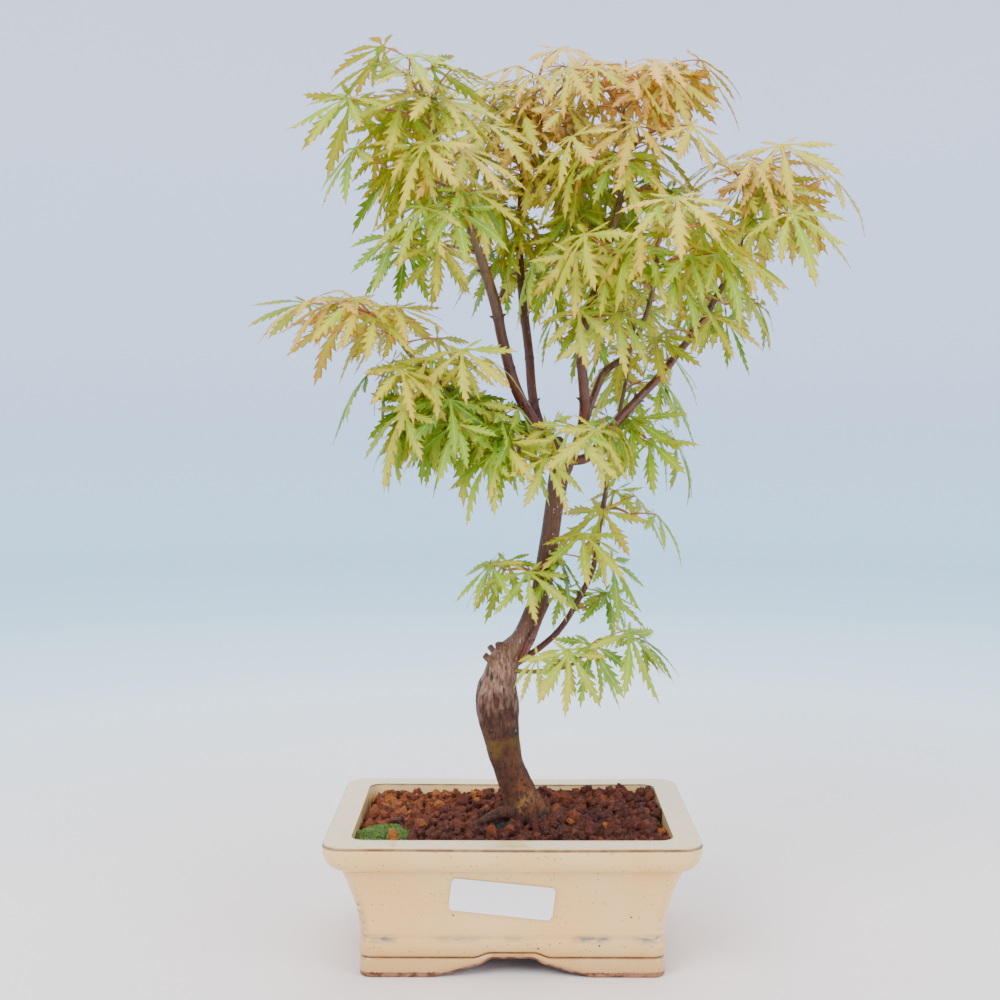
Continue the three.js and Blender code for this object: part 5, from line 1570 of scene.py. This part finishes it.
# More twigs that fill the crown, each grown with the spray it is listed under.
FILLERS = {
    "rear_low": [
        ("rear_leader", 0.62, (18, -26, 2), 5, 1, 48, 0.3),
        ("rear_leader", 0.7, (-20, -20, 4), 5, 1, 48, 0.3)
    ],
    "rear_high": [
        ("rear_leader", 0.78, (22, -24, 6), 5, 1.05, 45, 0.4),
        ("centre_leader", 0.6, (-14, 24, 8), 5, 1, 48, 0.25)
    ],
    "top_left": [
        ("rear_leader", 0.87, (-12, -28, 6), 5, 1.05, 42, 0.48),
        ("rear_leader", 0.99, (-22, 4, 28), 5, 1, 30, 0.5)
    ],
    "top_middle": [
        ("rear_leader", 0.94, (14, -28, 8), 5, 1, 40, 0.66),
        ("rear_leader", 1.0, (8, -6, 34), 5, 1.05, 28, 0.62)
    ],
    "top_right": [
        ("centre_leader", 1.0, (30, 8, 14), 5, 1, 34, 0.62),
        ("centre_leader", 0.94, (-18, -24, 18), 5, 1.05, 40, 0.62)
    ],
    "top_front": [
        ("centre_leader", 0.76, (-18, -26, 10), 5, 1.05, 45, 0.4),
        ("centre_leader", 0.7, (20, 22, 12), 5, 1, 48, 0.3)
    ],
    "fore_left": [
        ("centre_right_stem", 0.62, (-26, -10, 2), 4, 1, 50, 0.3),
        ("centre_leader", 0.5, (-14, -24, 0), 4, 1, 52, 0.28)
    ],
    "fore_right": [("centre_right_stem", 0.88, (18, 2, 6), 4, 1, 46, 0.36)],
    "tip_top": [("right_leader", 0.99, (10, -4, 14), 4, 1, 34, 0.6)],
    "side_tip": [("side_branch_left", 0.99, (-26, -4, 10), 4, 1.15, 22, 0.5)],
    "crown_left": [("left_leader", 0.96, (-26, -8, 8), 4, 1.05, 38, 0.34)],
    "mass_left": [("side_branch_left", 0.5, (-18, -20, -12), 5, 1.05, 58, 0.18)],
    "mass_rear": [("side_branch_left", 0.26, (-20, 8, -12), 5, 1, 58, 0.12)],
    "crown_left_top": [("left_leader", 1.0, (-10, -2, 26), 3, 1, 10, 0.45)],
}


def rising(heading, elevation):
    """Unit vectors at a heading round Z and an elevation over the ground."""
    return np.stack([
        np.cos(heading) * np.cos(elevation), np.sin(heading) * np.cos(elevation), np.sin(elevation)
    ], axis=-1)


def plan_spray(order, tree, spray):
    """Where a spray's twig, stalks and blades lie. Leaves stand in pairs at nodes back from the
    twig's tip; the extra ones that fill the spray are scattered along it."""
    carrier, place, reach, planned, size, droop, age_and_light = spray
    stem = smooth_path(from_trunk_base(STEMS[carrier][0]), 1201)
    start = stem[int(round(place * 1200))]
    reach = np.asarray(reach, float)
    long = float(np.linalg.norm(reach))
    middle = start + reach / 2 + np.array([0, 0, 0.1 * long])
    twig = smooth_path([start, middle, start + reach], 101)
    twig_length = float(path_length(twig))
    heading = math.atan2(reach[1], reach[0])

    count = int(round(planned * tree.density))
    leaf = np.arange(count)
    extra = leaf >= planned
    single = (planned % 2 == 1) & (leaf == 0)
    step = np.where(planned % 2, np.ceil(leaf / 2), np.floor(leaf / 2))
    side = np.where(single, 0, np.where(leaf % 2, 1, -1))
    spacing = tree.node_spacing / MM
    along = np.maximum(1 - step * spacing / twig_length, 0.15 + 0.1 * vary(order, leaf))
    along = np.where(extra, 0.2 + 0.75 * vary(order, leaf + 160), along)
    foot = twig[np.round(along * 100).astype(int)]
    swing = side * (0.65 + 0.35 * step) + 0.7 * (vary(order, leaf + 20) - 0.5)
    swing = np.where(extra, 4.4 * (vary(order, leaf + 180) - 0.5), swing)
    rise = np.radians(-5 + 35 * vary(order, leaf + 40) + np.where(extra, 12, 0))
    stalk = tree.stalk / MM * (0.75 + 0.5 * vary(order, leaf + 60)) * np.where(extra, 0.82, 1)
    hub = foot + rising(heading + swing, rise) * stalk[:, None]
    fall = np.radians(droop + 24 * (vary(order, leaf + 80) - 0.5))
    aim = heading + 1.25 * swing
    forward = rising(aim, -fall)
    level = np.stack([-np.sin(aim), np.cos(aim), 0 * aim], axis=-1)
    roll = 0.7 * (vary(order, leaf + 100) - 0.5)
    across = level * np.cos(roll)[:, None] + np.cross(forward, level) * np.sin(roll)[:, None]
    grown = 0.85 + 0.3 * vary(order, leaf + 120)
    length = tree.leaf / MM * size * grown * np.where(extra, 0.86, 1)
    # Each leaf's tint is spread widely at random. This is partly age and partly painted light for
    # sunlit and shaded leaves.
    ages_and_light = np.clip(age_and_light + 0.42 * (vary(order, leaf + 140) - 0.5), 0, 1)
    return twig, foot, hub, forward, across, length, ages_and_light


def blade_shapes(order, hub, forward, across, length, ages_and_light):
    """Closed blades of all lobes of a spray's leaves. A lobe is a flat tube of four columns: left
    margin, top of the rib, right margin, underside. It bows down with the square of the distance
    from the stalk, folds along its rib and waves a little."""
    up = np.cross(forward, across)
    dice = np.random.default_rng(SEEDS["blades"] + order)
    leaves, lobes, rows = len(hub), len(LOBE_ANGLES), len(LOBE_ROWS)
    shape = (leaves, lobes)
    angle = LOBE_ANGLES + dice.normal(0, 0.09, shape)
    long = length[:, None] * LOBE_SHARES * dice.uniform(0.86, 1.12, shape)
    ahead = np.cos(angle)[..., None] * forward[:, None] + np.sin(angle)[..., None] * across[:, None]
    beside = -np.sin(angle)[..., None] * forward[:, None] + np.cos(angle)[
        ..., None
    ] * across[:, None]
    rib, edge_along, edge_out = LOBE_ROWS.T
    fold = dice.uniform(-0.5, 0.25, shape)
    bow = dice.uniform(0.16, 0.34, shape)
    sway = dice.normal(0, 0.09, shape)
    phase = dice.uniform(0, TAU, shape)
    wide = dice.uniform(0.85, 1.2, shape + (2,))
    place = np.stack([edge_along, rib, edge_along, rib])
    out = np.stack([edge_out, 0 * rib, -edge_out, 0 * rib])
    out = out * np.stack(
        [wide[..., 0], wide[..., 0], wide[..., 1], wide[..., 1]], axis=-1
    )[..., None]
    skin = np.stack([0 * rib, 0.005 + 0 * rib, 0 * rib, -0.005 + 0 * rib])
    share_long = (long / length[:, None])[..., None, None]
    drop = bow[..., None, None] * share_long * place**2
    wave = 0.018 * np.sin(7 * place + phase[..., None, None])
    height = skin + fold[..., None, None] * np.abs(out) - drop + wave * place
    sideways = out + sway[..., None, None] * place**2
    reach = long[..., None, None]
    local = (
        (place * reach)[..., None] * ahead[:, :, None, None]
        + (sideways * reach)[..., None] * beside[:, :, None, None]
        + (height * reach)[..., None] * up[:, None, None, None]
    )
    rings = hub[:, None, None, None] + local
    rings = rings.transpose(0, 1, 3, 2, 4).reshape(leaves * lobes, rows, 4, 3)
    points, faces = tube_shapes(rings)
    margin = np.append(np.tile([1.0, 0.0, 1.0, 0.0], rows), [0.0, 1.0])
    tipward = np.append(np.repeat(rib, 4), [0.0, 1.0])
    lobe_age_and_light = ages_and_light[:, None, None] + 0.28 * tipward**3 + dice.normal(0, 0.04, shape)[..., None]
    marks = {"margin": np.tile(margin, leaves * lobes), "age_and_light": lobe_age_and_light.ravel()}
    return points, faces, marks


def make_stalks(tree, twig, foot, hub):
    """A twig as a tapered tube, and a thin tube for each leaf stalk, bowed a little upwards between
    the twig and the leaf."""
    share = np.linspace(0, 1, 12)
    path = twig[np.round(share * 100).astype(int)]
    radius = tree.twig / MM * (1.15 - 0.45 * share)[:, None]
    radius = domed(radius, share[:, None], float(path_length(path)), 0.8)
    twig_points, twig_faces = tube_shapes(sweep(path, radius, 8)[None])
    twig_part = (twig_points, twig_faces, {"blush": ring_values(0.15 + 0.3 * share, 8)})
    share = np.linspace(0, 1, 9)[:, None]
    bow = 0.16 * np.linalg.norm(hub - foot, axis=1)[:, None, None] * (share * (1 - share))
    path = foot[:, None] + (hub - foot)[:, None] * share + bow * np.array([0, 0, 1])
    radius = np.array([0.85, 0.58, 0.46, 0.42, 0.4, 0.38, 0.38, 0.42, 0.5])[None, :, None]
    points, faces = tube_shapes(sweep(path, np.repeat(radius, len(hub), axis=0), 6))
    each = ring_values(0.35 + 0.6 * share[:, 0], 6)
    return [twig_part, (points, faces, {"blush": np.tile(each, len(hub))})]


def make_sprays(tree):
    """Leaves of each spray as one piece, and all twigs and leaf stalks as another."""
    finish = leaf_finish(tree)
    stalks = []
    for order, (name, spray) in enumerate(SPRAYS.items()):
        leaves = []
        for extra, filler in enumerate([spray] + FILLERS.get(name, [])):
            plan = plan_spray(order + 50 * extra, tree, filler)
            leaves.append(blade_shapes(order + 50 * extra, *plan[2:]))
            stalks.extend(make_stalks(tree, *plan[:3]))
        points, faces, marks = joined(leaves)
        new_piece(
            name + "_leaves", points, faces, finish, [name + "_spray"], marks, crease=60
        )
    points, faces, marks = joined(stalks)
    new_piece(
        "twigs_and_stalks", points, faces, stalk_finish(tree), [], marks, crease=80
    )


# ---------- stage ----------

LAMP_AIM = 0.24  # height that the lamps point at, in metres
CAMERA_PLACE = (-0.03685, -0.7272, 0.2748)
CAMERA_TURN = (math.radians(86.69), 0, math.radians(0.31))
CAMERA_LENS = 50.4


def make_stage(stage):
    """A round floor that curves up into a round backdrop, three large soft lamps and the camera."""
    far, curve, sides = stage.radius, 0.6, 96
    cove = np.linspace(0, TAU / 4, 12)
    across = np.concatenate([[0.02, 0.3, 0.8, 1.4], far - curve + curve * np.sin(cove), [far, far]])
    up = np.concatenate([[0, 0, 0, 0], curve - curve * np.cos(cove), [1.8, 3.2]])
    turn = np.arange(sides) * TAU / sides
    rings = np.stack([
        across[:, None] * np.cos(turn), across[:, None] * np.sin(turn),
        np.broadcast_to(up[:, None], (len(up), sides))
    ], axis=-1)
    mesh = bpy.data.meshes.new("Floor and backdrop")
    faces = grid_faces(len(up), sides)[:, ::-1]
    mesh.from_pydata(rings.reshape(-1, 3).tolist(), [], faces.tolist() + [list(range(sides))])
    mesh.shade_smooth()
    floor = bpy.data.objects.new("Floor and backdrop", mesh)
    bpy.context.scene.collection.objects.link(floor)
    finish, tree, shader = new_finish("Backdrop paper")
    reach = tree.nodes.new("ShaderNodeVectorMath")
    reach.operation = "LENGTH"
    tree.links.new(object_place(tree, (1, 1, 1.35)), reach.inputs[0])
    share = band(tree, reach.outputs["Value"], 0.1, 3.1)
    tone = ramp(
        tree, share, (0.0, stage.floor), (0.1, stage.haze), (0.36, linear(0.76, 0.93, 0.99)),
        (0.80, stage.blue), (0.9, linear(0.80, 0.88, 0.97)), (1.0, stage.top),
    )
    paper = mottle(tree, object_place(tree), 900.0, 0.3, 0.7)
    feed(tree, shader.inputs["Base Color"], tone)
    feed(tree, shader.inputs["Roughness"], band(tree, paper, 0.0, 1.0, 0.7, 0.8))
    mesh.materials.append(finish)

    plan = [
        ("Key lamp", (-1.0, -1.25, 1.55), 1.3, stage.key),
        ("Fill lamp", (1.25, -1.0, 0.9), 1.2, stage.fill),
        ("Top lamp", (0.1, 0.35, 1.9), 1.4, stage.fill * 1.2),
    ]
    for name, place, size, power in plan:
        data = bpy.data.lights.new(name, "AREA")
        data.shape = "DISK"
        data.size = size
        data.energy = power
        lamp = bpy.data.objects.new(name, data)
        away = np.array(place) - np.array([0, 0, LAMP_AIM])
        flat = math.hypot(away[0], away[1])
        lamp.location = place
        lamp.rotation_euler = (math.atan2(flat, away[2]), 0, math.atan2(away[0], -away[1]))
        bpy.context.scene.collection.objects.link(lamp)
    world = bpy.data.worlds.new("Soft studio")
    world.use_nodes = True
    background = world.node_tree.nodes["Background"]
    background.inputs["Color"].default_value = (0.88, 0.95, 1.0, 1.0)
    background.inputs["Strength"].default_value = stage.sky
    bpy.context.scene.world = world

    data = bpy.data.cameras.new("Camera")
    data.sensor_width = 36
    data.lens = CAMERA_LENS
    data.clip_start = 0.01
    camera = bpy.data.objects.new("Camera", data)
    camera.location = CAMERA_PLACE
    camera.rotation_euler = CAMERA_TURN
    bpy.context.scene.collection.objects.link(camera)
    bpy.context.scene.camera = camera


# ---------- operators, panel and start ----------


class MapleOperator:
    """What the operators share: the scene's settings."""

    bl_options = {"REGISTER", "UNDO"}

    def settings(self, context):
        """Settings of the pot, the soil, the tree and the stage."""
        scene = context.scene
        return scene.maple_pot, scene.maple_soil, scene.maple_tree, scene.maple_stage


class MAPLE_OT_pot(MapleOperator, bpy.types.Operator):
    """Build the glazed pot"""

    bl_idname = "maple.pot"
    bl_label = "Pot"

    def execute(self, context):
        """Make the pot."""
        pot, _, _, _ = self.settings(context)
        make_pot(pot)
        return {"FINISHED"}


class MAPLE_OT_drainage(MapleOperator, bpy.types.Operator):
    """Finish the drain screens and their clips"""

    bl_idname = "maple.drainage"
    bl_label = "Drain screens"

    def execute(self, context):
        """Give the screens and clips their finish."""
        finish_drainage()
        return {"FINISHED"}


class MAPLE_OT_sticker(MapleOperator, bpy.types.Operator):
    """Lay the blank sticker on the pot"""

    bl_idname = "maple.sticker"
    bl_label = "Sticker"

    def execute(self, context):
        """Make the sticker."""
        pot, _, _, _ = self.settings(context)
        make_label(pot)
        return {"FINISHED"}


class MAPLE_OT_soil(MapleOperator, bpy.types.Operator):
    """Fill the pot with peaty soil and clay granules"""

    bl_idname = "maple.soil"
    bl_label = "Soil"

    def execute(self, context):
        """Make the root ball and the granules."""
        pot, soil, _, _ = self.settings(context)
        make_root_ball(pot, soil)
        make_granules(pot, soil)
        return {"FINISHED"}


class MAPLE_OT_moss(MapleOperator, bpy.types.Operator):
    """Grow the moss patch and the dark tuft beside the trunk"""

    bl_idname = "maple.moss"
    bl_label = "Moss"

    def execute(self, context):
        """Make both mosses."""
        pot, soil, _, _ = self.settings(context)
        level = (pot.height - soil.below_rim) / MM
        centre, reach = moss_place(pot)
        make_moss(
            "moss_cushion", "moss_patch", centre, reach, 2.6, level - 0.6,
            soil.filaments, SEEDS["moss"], soil.moss_deep, soil.moss, 2.3,
        )
        make_moss(
            "dark_moss_tuft", "moss_tuft", HOLLOW, (6.5, 7.5), 1.4, level - 2.6,
            soil.filaments // 7, SEEDS["tuft"], linear(0.03, 0.06, 0.015),
            linear(0.13, 0.20, 0.04), 2.2,
        )
        return {"FINISHED"}


class MAPLE_OT_wood(MapleOperator, bpy.types.Operator):
    """Build the trunk, its roots, the branches, buds and cut stubs"""

    bl_idname = "maple.wood"
    bl_label = "Trunk and branches"

    def execute(self, context):
        """Make all wood."""
        pot, soil, tree, _ = self.settings(context)
        make_trunk(tree, pot, soil)
        make_branches(tree)
        return {"FINISHED"}


class MAPLE_OT_leaves(MapleOperator, bpy.types.Operator):
    """Grow the leafy sprays"""

    bl_idname = "maple.leaves"
    bl_label = "Leaves"

    def execute(self, context):
        """Make the twigs, stalks and leaves."""
        _, _, tree, _ = self.settings(context)
        make_sprays(tree)
        return {"FINISHED"}


class MAPLE_OT_stage(MapleOperator, bpy.types.Operator):
    """Set up the floor, backdrop, lamps and camera"""

    bl_idname = "maple.stage"
    bl_label = "Stage"

    def execute(self, context):
        """Make the stage."""
        _, _, _, stage = self.settings(context)
        make_stage(stage)
        return {"FINISHED"}


STEPS = [
    MAPLE_OT_pot, MAPLE_OT_drainage, MAPLE_OT_sticker, MAPLE_OT_soil, MAPLE_OT_moss, MAPLE_OT_wood,
    MAPLE_OT_leaves, MAPLE_OT_stage,
]
SETTINGS = {
    "maple_pot": PotSettings,
    "maple_soil": SoilSettings,
    "maple_tree": TreeSettings,
    "maple_stage": StageSettings,
}


class MAPLE_PT_panel(bpy.types.Panel):
    """Lists the maple's settings and the steps that build it"""

    bl_idname = "MAPLE_PT_panel"
    bl_label = "Potted maple"
    bl_space_type = "VIEW_3D"
    bl_region_type = "UI"
    bl_category = "Maple"

    def draw(self, context):
        """Show each group of settings, then a button for each step."""
        for key, group in SETTINGS.items():
            box = self.layout.box()
            settings = getattr(context.scene, key)
            for name in group.__annotations__:
                box.prop(settings, name)
        for step in STEPS:
            self.layout.operator(step.bl_idname)


def register():
    """Make the settings, steps and panel known to Blender."""
    for key, group in SETTINGS.items():
        bpy.utils.register_class(group)
        setattr(bpy.types.Scene, key, bpy.props.PointerProperty(type=group))
    for part in STEPS + [MAPLE_PT_panel]:
        bpy.utils.register_class(part)


def unregister():
    """Take the panel, steps and settings out again."""
    for part in reversed(STEPS + [MAPLE_PT_panel]):
        bpy.utils.unregister_class(part)
    for key, group in reversed(list(SETTINGS.items())):
        delattr(bpy.types.Scene, key)
        bpy.utils.unregister_class(group)


def main():
    """Build every piece in order."""
    register()
    for step in STEPS:
        area, name = step.bl_idname.split(".")
        getattr(getattr(bpy.ops, area), name)()


if __name__ == "__main__":
    main()
